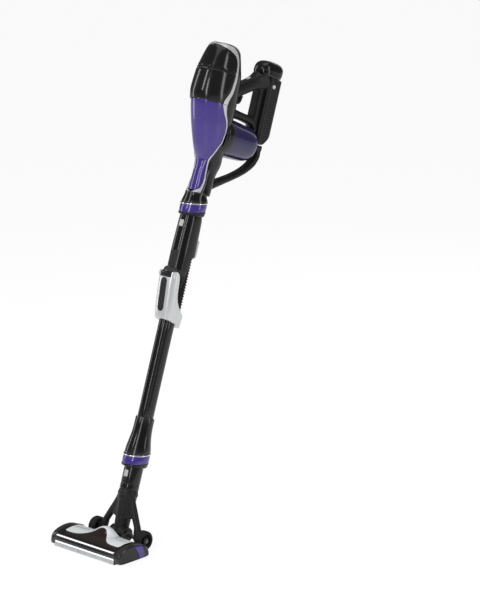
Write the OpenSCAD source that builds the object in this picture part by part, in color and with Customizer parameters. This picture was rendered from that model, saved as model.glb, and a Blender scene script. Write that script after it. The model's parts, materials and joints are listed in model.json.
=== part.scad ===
/* [Stick] */
// Lean of the stick from upright, towards the rear
stick_lean = 18.7; // [10:0.1:30]
// Length of the straight lower tube between its connectors
lower_tube_len = 225; // [150:1:320]
// Width of the lower tube, left to right
tube_w = 34; // [30:0.5:36]
// Depth of the lower tube, front to rear
tube_d = 40; // [34:0.5:42]
// Wall of every tube
tube_wall = 2; // [1.5:0.1:2.5]
// Offset of the tube's axis in front of the neck's pivot line
tube_axis_p = -4; // [-6:0.5:0]

/* [Connectors] */
// Outer radius of each push-in spigot
spigot_r = 19; // [18:0.5:20]
// Engaged length of each spigot
spigot_len = 44; // [30:1:50]
// Outer radius of the purple collars
collar_r = 31; // [28:0.5:34]
// Height of each purple collar
collar_h = 19; // [14:1:24]
// Height of each bright ring above a collar
ring_h = 3; // [2:0.5:5]
// Height of the black lip under each collar
lip_h = 10; // [6:1:12]

/* [Flex joint] */
// Length of the upper wand from its lip down to the fold pivot
arm_len = 145; // [125:1:170]
// Length of the silver fork below the fold pivot
fork_len = 110; // [100:1:130]
// Half width of the wand at the fold
arm_hw = 24; // [23:0.5:27]
// Radius of the fold barrel
barrel_r = 9; // [7:0.5:9]
// Radius of the fold pin
fold_pin_r = 3; // [2:0.25:4]
// Distance of the fold pivot in front of the tube's axis
fold_offset = 30; // [28:0.5:31]

/* [Hand unit] */
// Height of the hand unit above its collar
hand_len = 373; // [340:1:400]
// Half width of the dust cup
body_hw = 47; // [42:0.5:52]
// Wall of the casings
casing_t = 2.5; // [2:0.1:3]
// Radius of the motor drum at its front
drum_r = 46.5; // [44:0.5:50]
// Length of the motor drum
drum_len = 100; // [90:1:105]
// Radius of the motor
motor_r = 30; // [24:0.5:34]
// Radius of the motor shaft
motor_shaft_r = 3; // [2:0.25:4]
// Width of the battery pack
battery_w = 52; // [44:1:58]
// Depth of the battery pack
battery_d = 42; // [36:1:46]
// Length of the battery pack
battery_len = 160; // [140:1:165]
// Radius of the charging inlet's bore
jack_r = 2.9; // [2:0.1:3.5]

/* [Floor head] */
// Width of the floor head, over the end caps
head_w = 225; // [200:1:270]
// Depth of the floor head, without the wheels
head_d = 100; // [95:1:105]
// Thickness of each end cap
cap_t = 14.5; // [13:0.5:18]
// Radius over the bristles
brush_r = 15; // [13:0.25:15]
// Radius of the brush core
core_r = 9; // [7:0.5:10]
// Radius of the brush's pulley
brush_pulley_r = 9; // [8:0.5:10]
// Radius of the brush motor's pulley
motor_pulley_r = 6; // [5:0.5:7]
// Radius of the rear wheels
wheel_r = 23; // [21:0.5:24]
// Width of each rear wheel
wheel_w = 20; // [16:1:22]
// Radius of the axle through the neck and wheels
axle_r = 4; // [3:0.25:5]

/* [Fits] */
// Radial clearance of pins and shafts that turn
run = 0.05; // [0.02:0.01:0.1]
// Clearance between pieces that slide or sit beside each other
gap = 0.3; // [0.2:0.05:0.5]

/* [Hidden] */
$fn = 48;

// levels along the stick, from the neck's pivot upwards
swivel_s = 103;
lip_s = 158;
low_collar_s = lip_s + lip_h;
low_ring_s = low_collar_s + collar_h;
tube_end_s = low_ring_s + ring_h;
tube_end_h = 84;
tube_s = tube_end_s + tube_end_h;
fork_s = tube_s + lower_tube_len;
fold_s = fork_s + fork_len;
up_lip_s = fold_s + arm_len;
up_collar_s = up_lip_s + lip_h;
up_ring_s = up_collar_s + collar_h;
flare_s = up_ring_s + ring_h;
flare_h = 22;
hand_s = flare_s + flare_h;
top_s = flare_s + hand_len;
fold_p = tube_axis_p - fold_offset;

// the neck's pivot in the floor head's frame
axle_y = head_d / 2 + 16;
axle_z = wheel_r;

// sockets that the spigots slide in
socket_r = spigot_r + gap / 2;
socket_wall = 5;
spigot_wall = 2.5;

// places on the hand unit, measured down from its top
drum_s = top_s - 208;
drum_p = 31;
cup_floor_s = top_s - 141;
lid_seam_s = top_s - 66;
grip_p = 40;
grip_s = top_s - 100;
grip_len = 100;
grip_angle = 30;
battery_p = 139;
battery_s = top_s - 199;
pillar_hw = 14;
pillar_p = 123;

// A closed skin through rings that stand across the side plane. Each ring is
// [p, s, direction, half width, half height, squareness]
RING_N = 32;
function sgn_pow(v, e) = sign(v) * pow(abs(v), e);
function ring_point(r, a) =
  let (t = r[4] * sgn_pow(sin(a), 2 / r[5]))
  [r[3] * sgn_pow(cos(a), 2 / r[5]), r[0] - t * sin(r[2]), r[1] + t * cos(r[2])];
function skin_points(rings) =
  [for (r = rings) for (i = [0 : RING_N - 1]) ring_point(r, 360 * i / RING_N)];
function skin_faces(m) = concat(
  [[for (i = [RING_N - 1 : -1 : 0]) i]],
  [for (j = [0 : m - 2]) for (i = [0 : RING_N - 1])
    let (a = j * RING_N + i, b = j * RING_N + (i + 1) % RING_N)
    [a, b + RING_N, a + RING_N]],
  [for (j = [0 : m - 2]) for (i = [0 : RING_N - 1])
    let (a = j * RING_N + i, b = j * RING_N + (i + 1) % RING_N)
    [a, b, b + RING_N]],
  [[for (i = [0 : RING_N - 1]) (m - 1) * RING_N + i]]);
module skin(rings) {
  polyhedron(points = skin_points(rings), faces = skin_faces(len(rings)), convexity = 6);
}
// The same rings drawn in by a wall
function inset(rings, t) = [for (r = rings) [r[0], r[1], r[2], r[3] - t, r[4] - t, r[5]]];
// Rings of an upright body, from [level, half width, front, rear]
function upright(rows, e) =
  [for (r = rows) [(r[2] + r[3]) / 2, r[0], 90, r[1], (r[3] - r[2]) / 2, e]];

// Puts children in the leaning stick's frame: X across, Y to the rear, Z along the stick
module stick() {
  translate([0, axle_y, axle_z]) rotate([-stick_lean, 0, 0]) children();
}
// The same, centred on the tube's axis
module on_axis(s) {
  stick() translate([0, tube_axis_p, s]) children();
}
// A cylinder across the part, centred on x = 0, at y, z
module cross_pin(r, len, y = 0, z = 0) {
  translate([-len / 2, y, z]) rotate([0, 90, 0]) cylinder(r = r, h = len);
}
module tube(r_out, r_in, h) {
  difference() {
    cylinder(r = r_out, h = h);
    translate([0, 0, -1]) cylinder(r = r_in, h = h + 2);
  }
}
// A plate cut across the part from an outline in the side plane
module side_plate(points, x0, x1) {
  translate([x0, 0, 0]) rotate([90, 0, 90]) linear_extrude(height = x1 - x0) polygon(points);
}
module rounded_rect(w, d, r) {
  square([w - 2 * r, d], center = true);
  square([w, d - 2 * r], center = true);
  for (x = [-1, 1], y = [-1, 1]) translate([x * (w / 2 - r), y * (d / 2 - r)]) circle(r = r);
}
module oval(w, d) {
  polygon([for (i = [0 : 47]) [w / 2 * cos(i * 7.5), d / 2 * sin(i * 7.5)]]);
}

// ---- hand unit: the casing's outer skin
k = body_hw / 47;
body_rows = [
  [hand_s - 2, 26, -25, 29], [hand_s + 14, 24, -21, 32], [hand_s + 45, 23, -19, 35],
  [top_s - 275, 27, -17, 43], [top_s - 252, 32 * k, -30, 41], [top_s - 222, 38 * k, -43, 42],
  [top_s - 182, 43 * k, -59, 42], [top_s - 142, 46 * k, -72, 42], [top_s - 118, body_hw, -77, 40],
  [top_s - 74, 45 * k, -74, 38], [top_s - 46, 40 * k, -66, 31], [top_s - 20, 33 * k, -53, 23],
  [top_s - 6, 27 * k, -42, 15], [top_s, 18 * k, -33, 6]
];
body_rings = upright(body_rows, 2.3);
module body_skin() {
  skin(body_rings);
}
module body_core() {
  skin(inset(body_rings, casing_t));
}
// The seam between the front pieces and the rear frame, [p, s] from the top down
seam = [
  [-6, top_s + 5], [-7, top_s - 35], [-10, top_s - 66], [-16, top_s - 107], [-30, top_s - 145],
  [-19, top_s - 162], [-5, top_s - 178], [3, top_s - 202], [2, top_s - 222], [-7, top_s - 242],
  [-14, top_s - 270], [-12, hand_s + 35], [-16, hand_s + 8], [-22, hand_s - 5]
];
// Everything in front of the seam moved by dp, between two levels
module seam_front(dp, s0, s1) {
  front_p = -120;
  intersection() {
    side_plate(concat([for (q = seam) [q[0] + dp, q[1]]],
      [[front_p, hand_s - 5], [front_p, top_s + 5]]), -80, 80);
    translate([-80, front_p, s0]) cube([160, 240, s1 - s0]);
  }
}
module seam_band(w, s0, s1) {
  difference() {
    seam_front(w / 2, s0, s1);
    seam_front(-w / 2, s0 - 1, s1 + 1);
  }
}
trim_w = 5;

module front_cover() {
  color("#3b2f7d") stick() intersection() {
    difference() {
      body_skin();
      body_core();
    }
    seam_front(-trim_w / 2, hand_s, cup_floor_s - gap);
  }
}
module drum_axis(p) {
  translate([0, p, drum_s]) rotate([-90, 0, 0]) children();
}
ring_r = drum_r + 2;
module rear_frame() {
  color("#17171a") stick() difference() {
    union() {
      difference() {
        body_skin();
        seam_front(trim_w / 2, hand_s - 6, top_s + 6);
      }
      drum_axis(8) cylinder(r = ring_r, h = drum_p - 8);
    }
    body_core();
    drum_axis(0) cylinder(r = drum_r - 4, h = drum_p + 20);
    drum_axis(drum_p) cylinder(r = ring_r + 1, h = 30);
  }
}
module neck_flare() {
  color("#1c1c1f") on_axis(up_collar_s) rotate_extrude() polygon([
      [socket_r, 0], [socket_r + socket_wall, 0], [socket_r + socket_wall, collar_h + ring_h],
      [collar_r, collar_h + ring_h], [collar_r - 1, collar_h + ring_h + 6],
      [27, collar_h + ring_h + 16], [26, collar_h + ring_h + flare_h - 2.5],
      [socket_r, collar_h + ring_h + flare_h - 2.5]
  ]);
}
module chrome_ring() {
  rotate_extrude() polygon([
    [socket_r + socket_wall, 0], [collar_r + 0.4, 0], [collar_r + 0.8, ring_h / 2],
    [collar_r + 0.4, ring_h], [socket_r + socket_wall, ring_h]
  ]);
}
module collar() {
  rotate_extrude() polygon([
    [socket_r + socket_wall, 0], [collar_r - 1, 0], [collar_r, 1], [collar_r, collar_h - 1],
    [collar_r - 0.6, collar_h], [socket_r + socket_wall, collar_h]
  ]);
}
module upper_chrome_ring() {
  color("silver") on_axis(up_ring_s) chrome_ring();
}
module upper_collar() {
  color("#3b2f7d") on_axis(up_collar_s) collar();
}

// ---- dust cup and lid
cup_rear_wall = 2.5;
module cup_region(dp, s0, s1) {
  intersection() {
    skin(inset(body_rings, -2.5));
    seam_front(-trim_w / 2 - gap + dp, s0, s1);
  }
}
module dust_cup() {
  color("#26262a") stick() difference() {
    cup_region(0, cup_floor_s, lid_seam_s - gap);
    intersection() {
      skin(inset(body_rings, 0.5));
      seam_front(-trim_w / 2 - gap - cup_rear_wall, cup_floor_s + 3, lid_seam_s + 1);
    }
    // seat of the lid's hinge pin
    cross_pin(lid_knuckle_r + gap + 0.4, 18 + 2 * gap, lid_pin_p, lid_pin_s);
  }
}
lid_pin_p = -79;
lid_pin_s = lid_seam_s - 3;
lid_pin_r = 1.2;
lid_knuckle_r = 3;
module dust_lid() {
  color("#1d1d20") stick() difference() {
    union() {
      difference() {
        cup_region(0, lid_seam_s, top_s + 1);
        intersection() {
          skin(inset(body_rings, 0.5));
          seam_front(-trim_w / 2 - gap - cup_rear_wall, lid_seam_s - 1, top_s - 4);
        }
      }
      // knuckle of the hinge, and the web that carries it
      cross_pin(lid_knuckle_r, 18, lid_pin_p, lid_pin_s);
      side_plate([
        [lid_pin_p - 3, lid_pin_s], [lid_pin_p - 2, lid_seam_s + 5], [lid_pin_p + 8, lid_seam_s + 5],
        [lid_pin_p + 4, lid_seam_s], [lid_pin_p + 3, lid_pin_s]
      ], -9, 9);
    }
    cross_pin(lid_pin_r + run, 40, lid_pin_p, lid_pin_s);
  }
}
module lid_pin() {
  color("silver") stick() {
    cross_pin(lid_pin_r, 28, lid_pin_p, lid_pin_s);
    // eyes that hold the pin on the cup
    for (x = [-1, 1]) difference() {
      union() {
        translate([x * 12, 0, 0]) cross_pin(lid_knuckle_r, 5, lid_pin_p, lid_pin_s);
        translate([x * 12 - 2.5, lid_pin_p, lid_pin_s - lid_knuckle_r]) cube([5, 4, 2 * lid_knuckle_r - 0.4]);
      }
      cross_pin(lid_pin_r, 40, lid_pin_p, lid_pin_s);
    }
  }
}
module trim_piece(s0, s1) {
  color("silver") stick() intersection() {
    difference() {
      skin(inset(body_rings, -1));
      body_core();
    }
    seam_band(trim_w - 0.1, s0, s1);
  }
}
module frame_trims() {
  trim_piece(lid_seam_s, top_s + 2);
  trim_piece(cup_floor_s, lid_seam_s - 0.1);
}
module cover_trim() {
  trim_piece(hand_s, cup_floor_s - 0.1);
}
// the separator and the filter stand inside the cup
inner_p = -53;
module cyclone_cone() {
  color("#8d9096") stick() translate([0, inner_p, cup_floor_s + 3.2]) rotate_extrude() polygon([
    [9, 0], [11, 0], [19, 34], [20, 52], [18, 52], [17, 34]
  ]);
}
module filter_cartridge() {
  color("#e4e4df") stick() translate([0, inner_p, cup_floor_s + 6]) difference() {
    union() {
      cylinder(r = 8.5, h = 50);
      for (i = [0 : 11]) rotate(i * 30) translate([0, -0.6, 26]) cube([14.5, 1.2, 23]);
      translate([0, 0, 50.2]) cylinder(r = 16, h = 3);
    }
    translate([0, 0, -1]) cylinder(r = 6, h = 50);
  }
}

// ---- handle
grip_hw = 17;
grip_h = 18;
module grip_frame() {
  stick() translate([0, grip_p, grip_s]) rotate([grip_angle, 0, 0]) children();
}
function along_grip(t, dz) = [
  grip_p + t * cos(grip_angle) - dz * sin(grip_angle),
  grip_s + t * sin(grip_angle) + dz * cos(grip_angle)
];
function grip_ring(t, w, h) = let (q = along_grip(t, 0)) [q[0], q[1], grip_angle, w, h, 2.4];
grip_rings = [
  grip_ring(-14, 17, 20), grip_ring(8, grip_hw, grip_h + 1), grip_ring(32, 16.5, 17),
  grip_ring(60, 16.5, 17), grip_ring(grip_len - 10, 18, 19), grip_ring(grip_len + 6, 20, 21)
];
foot_s = battery_s - gap;
loop_rings = [
  [battery_p + 26, foot_s - 6, -84, 14, 9, 2.4], [battery_p + 29, foot_s - 24, -95, 14, 9, 2.4],
  [battery_p + 22, foot_s - 44, -122, 14, 8.5, 2.4], [battery_p + 1, foot_s - 66, -141, 13.5, 8.5, 2.4],
  [battery_p - 34, foot_s - 89, -149, 13, 8.5, 2.4], [battery_p - 66, foot_s - 106, -153, 13, 9, 2.4],
  [battery_p - 94, foot_s - 120, -155, 13, 10, 2.4], [battery_p - 114, foot_s - 129, -155, 13, 10, 2.4]
];
beam_rings = [
  [34, drum_s + 62, -4, 15, 12, 2.6], [80, drum_s + 60, -3, 14, 10, 2.6],
  [pillar_p + 8, drum_s + 57, -3, pillar_hw, 11, 2.6]
];
handle_wall = 3;
ear_wall = 2.5;
module handle_whole() {
  difference() {
    union() {
      skin(grip_rings);
      skin(loop_rings);
      skin(beam_rings);
      translate([-pillar_hw, pillar_p, drum_s + 50])
        cube([2 * pillar_hw, battery_p - gap - pillar_p, battery_s + battery_len - drum_s - 54]);
      translate([-pillar_hw, pillar_p + 10, foot_s - 12])
        cube([2 * pillar_hw, battery_p - gap - pillar_p - 10, drum_s + 52 - foot_s + 12]);
      translate([-pillar_hw, pillar_p + 10, foot_s - 12])
        cube([2 * pillar_hw, battery_p + 34 - pillar_p - 10, 12]);
      // ears for the trigger's pin
      for (side = [-1, 1]) translate([side * (5 + gap + ear_wall / 2), 0, 0])
        cross_pin(3.4, ear_wall, trigger_q[0], trigger_q[1]);
    }
    body_skin();
    drum_axis(0) cylinder(r = ring_r + gap, h = drum_p + drum_len + 2.5);
    skin(inset([for (i = [0 : 4]) grip_rings[i]], handle_wall));
    translate([-pillar_hw + handle_wall, pillar_p + handle_wall, drum_s + 62])
      cube([2 * (pillar_hw - handle_wall), 9, 60]);
    translate([-battery_w / 2 - 1, battery_p - gap, battery_s - gap])
      cube([battery_w + 2, battery_d + 20, battery_len + 2 * gap]);
    slider_pocket();
    trigger_room();
    handle_screw_holes();
    cross_pin(trigger_pin_r + run, 30, trigger_q[0], trigger_q[1]);
    translate([-60, pillar_p - 14, palm_s - 1]) cube([120, 90, 60]);
  }
}
screw_r = 1.5;
screw_places = [
  along_grip(12, 0), along_grip(72, 0), [pillar_p + 7, drum_s + 57],
  [battery_p + 27, foot_s - 14], [battery_p - 66, foot_s - 106]
];
module handle_screw_holes() {
  for (q = screw_places) {
    cross_pin(screw_r + run, 60, q[0], q[1]);
    translate([8, 0, 0]) cross_pin_from(3 + run, 40, q[0], q[1]);
  }
}
module cross_pin_from(r, len, y, z) {
  translate([0, y, z]) rotate([0, 90, 0]) cylinder(r = r, h = len);
}
module case_fasteners() {
  color("#55585c") stick() {
    for (q = screw_places) case_screw(q);
    cross_pin(trigger_pin_r, 2 * (5 + gap + ear_wall), trigger_q[0], trigger_q[1]);
  }
}
module case_screw(q) {
  translate([-10, 0, 0]) cross_pin_from(screw_r, 18.5, q[0], q[1]);
  translate([8.1, 0, 0]) difference() {
    cross_pin_from(3, 2.4, q[0], q[1]);
    translate([1.2, 0, 0]) cross_pin_from(1.2, 4, q[0], q[1]);
  }
}
module half_space(side) {
  translate([side > 0 ? 0 : -100, -50, drum_s - 180]) cube([100, 350, 450]);
}
module handle_left() {
  color("#141416") stick() intersection() {
    handle_whole();
    half_space(-1);
  }
}
module handle_right() {
  color("#141416") stick() intersection() {
    handle_whole();
    half_space(1);
  }
}
// rounded block on top of the grip's rear end and the battery
palm_s = battery_s + battery_len + 1;
module palm_block() {
  hull() {
    for (x = [-1, 1]) {
      translate([x * 12, pillar_p - 4, palm_s + 8]) sphere(r = 12, $fn = 24);
      translate([x * (battery_w / 2 - 14), battery_p + battery_d - 9, palm_s + 18])
        sphere(r = 14, $fn = 24);
      translate([x * (battery_w / 2 - 14), pillar_p + 20, palm_s + 24]) sphere(r = 14, $fn = 24);
    }
  }
}
module palm_cap() {
  color("#232326") stick() intersection() {
    palm_block();
    translate([-60, 60, palm_s]) cube([120, 160, 60]);
  }
}
// trigger hangs from a pin under the front of the grip
trigger_pin_t = 26;
trigger_pin_r = 1.5;
trigger_q = along_grip(trigger_pin_t, -grip_h - 1);
module trigger_room() {
  translate([-5 - gap, trigger_q[0] - 9, trigger_q[1] - 6]) cube([10 + 2 * gap, 16, 14]);
}
module trigger() {
  color("#101012") stick() difference() {
    union() {
      cross_pin(4, 10, trigger_q[0], trigger_q[1]);
      translate([-5, trigger_q[0] - 3, trigger_q[1] - 15]) cube([10, 6, 15]);
      cross_pin(3, 10, trigger_q[0], trigger_q[1] - 15);
    }
    cross_pin(trigger_pin_r + run, 20, trigger_q[0], trigger_q[1]);
  }
}
slider_t = 52;
slider_len = 16;
slider_travel = 6;
module slider_pocket() {
  translate([0, grip_p, grip_s]) rotate([grip_angle, 0, 0])
    translate([-5 - gap, slider_t - gap, grip_h - 6])
      cube([10 + 2 * gap, slider_len + slider_travel + 2 * gap, 12]);
}
module power_slider() {
  color("silver") grip_frame() translate([-5, slider_t, grip_h - 6 + gap]) {
    cube([10, slider_len, 5]);
    for (i = [0 : 3]) translate([0, 3 + i * 3, 0]) cube([10, 1.4, 6]);
  }
}

// ---- motor
drum_back_r = 40;
module motor_drum() {
  color("#2c2563") stick() drum_axis(drum_p + 0.2) rotate_extrude() polygon([
    [drum_r - casing_t, 0], [drum_r, 0], [drum_r - 1, 30], [drum_back_r + 2, drum_len - 12],
    [drum_back_r - 1, drum_len - 4], [drum_back_r - 6, drum_len - 0.5], [drum_back_r - 9, drum_len - 0.5],
    [drum_back_r - 9, drum_len - 3], [drum_back_r - 3, drum_len - 7], [drum_back_r - 1, drum_len - 13],
    [drum_r - casing_t - 1, 30]
  ]);
}
module drum_end_cap() {
  color("#1a1a1d") stick() drum_axis(drum_p + drum_len - 3) difference() {
    union() {
      cylinder(r = drum_back_r - 9.2, h = 3);
      translate([0, 0, -8]) tube(9, motor_shaft_r + 2.5, 8.5);
    }
    for (i = [0 : 11]) rotate(i * 30) translate([14, -2, -1]) cube([14, 4, 6]);
    translate([0, 0, -9]) cylinder(r = motor_shaft_r + 2.5, h = 10);
  }
}
motor_p = drum_p + 27;
motor_h = 55;
module motor() {
  color("#9a9da1") stick() drum_axis(motor_p) difference() {
    union() {
      cylinder(r = motor_r, h = motor_h);
      tube(drum_r - casing_t - 3.4, motor_r - 1, 3);
    }
    translate([0, 0, -1]) cylinder(r = motor_shaft_r + 3, h = motor_h + 2);
    for (i = [0 : 7]) rotate(i * 45) translate([motor_r - 8, -3, 8]) cube([12, 6, motor_h - 16]);
  }
}
module motor_bearings() {
  color("#c7c9cc") stick() for (p = [motor_p + 2, motor_p + motor_h - 6])
    drum_axis(p) tube(motor_shaft_r + 3, motor_shaft_r + run, 4);
}
module motor_shaft() {
  color("#d0d2d4") stick() drum_axis(drum_p + 4) cylinder(r = motor_shaft_r, h = drum_len - 12);
}
module impeller() {
  color("#b9bcc0") stick() drum_axis(drum_p + 6) difference() {
    union() {
      cylinder(r = 36, h = 2);
      cylinder(r1 = 12, r2 = 7, h = 14);
      for (i = [0 : 8]) rotate(i * 40) translate([6, -0.8, 0]) rotate([0, 0, 18]) cube([28, 1.6, 12]);
    }
    translate([0, 0, -1]) cylinder(r = motor_shaft_r, h = 20);
  }
}
module control_board() {
  color("#1f5a3a") stick() translate([-22, 12, top_s - 100]) {
    cube([44, 1.6, 60]);
    for (i = [0 : 3]) translate([5 + i * 9, -4, 12]) cube([6, 4, 10]);
    translate([14, -7, 34]) cube([16, 7, 14]);
  }
}

// ---- battery
module battery_case() {
  color("#1b1b1e") stick() difference() {
    union() {
      translate([0, battery_p + battery_d / 2, battery_s])
        linear_extrude(height = battery_len) rounded_rect(battery_w, battery_d, 9);
      for (i = [0 : 10]) translate([0, battery_p + battery_d / 2, battery_s + 18 + i * 9])
        linear_extrude(height = 4) rounded_rect(battery_w + 1.2, battery_d - 16, 3);
    }
    translate([0, battery_p + battery_d / 2, battery_s + casing_t])
      linear_extrude(height = battery_len - 2 * casing_t)
        rounded_rect(battery_w - 2 * casing_t, battery_d - 2 * casing_t, 6);
    translate([battery_w / 2 - 6, button_p, button_s]) rotate([0, 90, 0]) cylinder(r = 5 + run, h = 10);
    translate([-battery_w / 2 - 1, jack_p, jack_s]) rotate([0, 90, 0]) cylinder(r = 4.5, h = 6);
  }
}
cell_r = 9;
module battery_cells() {
  color("#6f8f3c") stick() for (x = [-1, 1], i = [0 : 1])
    translate([x * (cell_r + 0.4), battery_p + battery_d / 2 - 4, battery_s + 8 + i * 66])
      cylinder(r = cell_r, h = 65);
}
jack_p = battery_p + 31;
jack_s = battery_s + 9;
jack_len = 10;
module charge_jack() {
  color("#2a2a2d") stick() translate([-battery_w / 2 + 0.2, jack_p, jack_s]) rotate([0, 90, 0])
    difference() {
      cylinder(r = 4.5, h = jack_len + 2);
      translate([0, 0, -1]) cylinder(r = jack_r, h = jack_len + 1);
    }
}
button_p = battery_p + 13;
button_s = battery_s + battery_len - 20;
module battery_button() {
  color("silver") stick() translate([battery_w / 2 - 4, button_p, button_s]) rotate([0, 90, 0])
    rotate_extrude() polygon([[0, 0], [5, 0], [5, 5.4], [4.3, 6], [0, 6.4]]);
}

// ---- upper wand and fold joint
module wand_spigot() {
  color("#101012") on_axis(up_lip_s) {
    difference() {
      union() {
        cylinder(r = spigot_r, h = lip_h + spigot_len);
        rotate_extrude() polygon([
          [spigot_r - 1, 0], [collar_r - 3, 0], [collar_r - 1, 2], [collar_r - 1, lip_h - 4],
          [collar_r + 0.5, lip_h - 3], [collar_r + 0.5, lip_h - gap], [spigot_r - 1, lip_h - gap]
        ]);
      }
      translate([0, 0, -1]) cylinder(r = spigot_r - spigot_wall, h = lip_h + spigot_len + 2);
    }
  }
}
arm_rear = 29;
arm_rows = [
  [fold_s - 68, arm_hw - 6, 4, 20], [fold_s - 44, arm_hw - 1.5, -10, 25], [fold_s - 14, arm_hw - 0.6, -18, 28],
  [fold_s + 4, arm_hw - 0.5, -22, arm_rear], [fold_s + 12, arm_hw - 0.3, -33, arm_rear],
  [fold_s + 50, arm_hw, -33, arm_rear - 1], [fold_s + 90, arm_hw - 0.5, -32, 26],
  [up_lip_s - 12, arm_hw - 1, -30, 24], [up_lip_s - 0.1, arm_hw - 2, -29, 22]
];
arm_rings = upright(arm_rows, 2.5);
barrel_hw = 17;
strip_hw = 12;
strip_t = 1.2;
arm_wall = 3;
module arm_whole() {
  difference() {
    union() {
      difference() {
        skin(arm_rings);
        skin(inset(arm_rings, arm_wall));
      }
      cross_pin(barrel_r, 2 * barrel_hw, fold_p, fold_s);
      // web that carries the barrel
      side_plate([
        [fold_p - 8, fold_s + 2], [fold_p - 1, fold_s + 16], [fold_p + 3, fold_s + 20], [fold_p + 9, fold_s + 16],
        [fold_p + 9, fold_s]
      ], -barrel_hw, barrel_hw);
    }
    // the open rear, where the ribbed hose shows
    translate([-arm_hw + 5, 17, fold_s - 72]) cube([2 * arm_hw - 10, 30, 116]);
    // the mouth at the bottom, where the hose leaves
    translate([-arm_hw, -12, fold_s - 80]) cube([2 * arm_hw, 60, 13.5]);
    // the way up into the spigot
    translate([0, tube_axis_p, up_lip_s - 8]) cylinder(r = spigot_r - spigot_wall, h = 20);
    cross_pin(fold_pin_r + run, 80, fold_p, fold_s);
    intersection() {
      strip_room(strip_hw + gap, gap);
      difference() {
        skin(inset(arm_rings, -1));
        skin(inset(arm_rings, strip_t + 0.2));
      }
    }
    translate([0, -50, wand_button_s]) rotate([-90, 0, 0])
      linear_extrude(height = 35) rounded_rect(11 + 2 * gap, 16 + 2 * gap, 2 + gap);
    fold_button_room();
    translate([0, hose_p, fold_s - 80]) cylinder(r = hose_r + gap, h = 118);
  }
}
// band along the front of the arm, where the strip lies
module strip_room(hw, g) {
  translate([-hw, -60, fold_s + 20 - g]) cube([2 * hw, 50, 118 + 2 * g]);
}
module arm_half(side) {
  intersection() {
    arm_whole();
    translate([side > 0 ? 0 : -80, -80, fold_s - 90]) cube([80, 160, 300]);
  }
}
module flex_arm_left() {
  color("#161618") stick() arm_half(-1);
}
module flex_arm_right() {
  color("#161618") stick() arm_half(1);
}
wand_button_s = up_lip_s - 22;
module arm_strip() {
  color("#0c0c0e") stick() difference() {
    intersection() {
      skin(arm_rings);
      strip_room(strip_hw, 0);
    }
    skin(inset(arm_rings, strip_t));
    translate([-5.5 - gap, -60, wand_button_s - 8 - gap]) cube([11 + 2 * gap, 60, 16 + 2 * gap]);
  }
}
module wand_button() {
  color("silver") stick() translate([0, -32, wand_button_s]) rotate([-90, 0, 0])
    linear_extrude(height = 3.8) rounded_rect(11, 16, 2);
}
fold_button_s = fold_s + 72;
module fold_button_room() {
  translate([0, 10, fold_button_s]) rotate([-90, 0, 0])
    linear_extrude(height = 40) rounded_rect(18 + 2 * gap, 42 + 2 * gap, 5 + gap);
}
module fold_button() {
  color("silver") stick() translate([0, 22, fold_button_s]) rotate([-90, 0, 0])
    linear_extrude(height = 9) rounded_rect(18, 42, 5);
}
hose_p = 3;
hose_s = fold_s - 84;
hose_len = 116;
hose_ribs = 14;
hose_r = 14;
module flex_hose() {
  color("#0f0f10") stick() translate([0, hose_p, hose_s]) rotate_extrude() polygon(concat(
    [[hose_r - 4, 0]],
    [for (i = [0 : 2 * hose_ribs]) [hose_r - (i % 2 == 0 ? 2 : 0), hose_len * i / (2 * hose_ribs)]],
    [[hose_r - 4, hose_len]]));
}
fork_hw = arm_hw + gap + 3.7;
fork_rows = [
  [fork_s - 14, arm_hw, -30, 24], [fork_s + 4, fork_hw - 3, -34, 27], [fork_s + 22, fork_hw - 1, -37, 27],
  [fork_s + 50, fork_hw, -41, 26], [fold_s - 12, fork_hw, -46, 24], [fold_s + 12, fork_hw, -46, 24]
];
fork_rings = upright(fork_rows, 2.7);
fork_wall = 2.4;
// side outline of the fork, [p, s]
fork_outline = [
  [-60, fork_s + 5], [-20, fork_s + 1], [40, fork_s - 15], [40, fork_s + 14], [8, fork_s + 27],
  [-10, fork_s + 38], [-18, fork_s + 52], [-22, fold_s - 20], [fold_p + barrel_r, fold_s],
  [fold_p + barrel_r - 3, fold_s + 7], [fold_p, fold_s + barrel_r], [fold_p - 7, fold_s + 6],
  [-60, fold_s + 6]
];
module fork_shell() {
  difference() {
    intersection() {
      skin(fork_rings);
      side_plate(fork_outline, -60, 60);
    }
    // the channel that the arm folds out of, open at the top
    intersection() {
      skin(inset(fork_rings, fork_wall));
      translate([-60, -60, fork_s + 26]) cube([120, 120, 200]);
    }
    // the front wall stops below the barrel
    translate([-barrel_hw - gap, -70, fold_s - 6]) cube([2 * (barrel_hw + gap), 100, 40]);
    cross_pin(barrel_r + gap, 2 * (barrel_hw + gap), fold_p, fold_s);
  }
}
module flex_fork() {
  color("#c8cbcb") stick() difference() {
    union() {
      fork_shell();
      // ears that carry the pin
      for (x = [-1, 1]) translate([x * (barrel_hw + gap + ear_t / 2), 0, 0])
        cross_pin(barrel_r - 0.4, ear_t, fold_p, fold_s);
    }
    // the bore for the lower tube and the way through for air
    translate([0, tube_axis_p, fork_s - 40]) linear_extrude(height = 60) oval(tube_w + 0.1, tube_d + 0.1);
    translate([0, hose_p, fork_s + 10]) cylinder(r = hose_r + 0.5, h = 60);
    translate([0, 0, fork_s + 18]) fork_window(gap);
    cross_pin(fold_pin_r, 100, fold_p, fold_s);
  }
}
ear_t = 5;
insert_hw = 9;
insert_len = 78;
module fork_window(g) {
  translate([0, -60, insert_len / 2]) rotate([-90, 0, 0])
    linear_extrude(height = 40) rounded_rect(2 * insert_hw + 2 * g, insert_len + 2 * g, 8);
}
module fork_insert() {
  color("#131315") stick() intersection() {
    translate([0, 0, fork_s + 18]) fork_window(0);
    difference() {
      skin(inset(fork_rings, 0.4));
      skin(inset(fork_rings, fork_wall));
    }
  }
}
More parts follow.
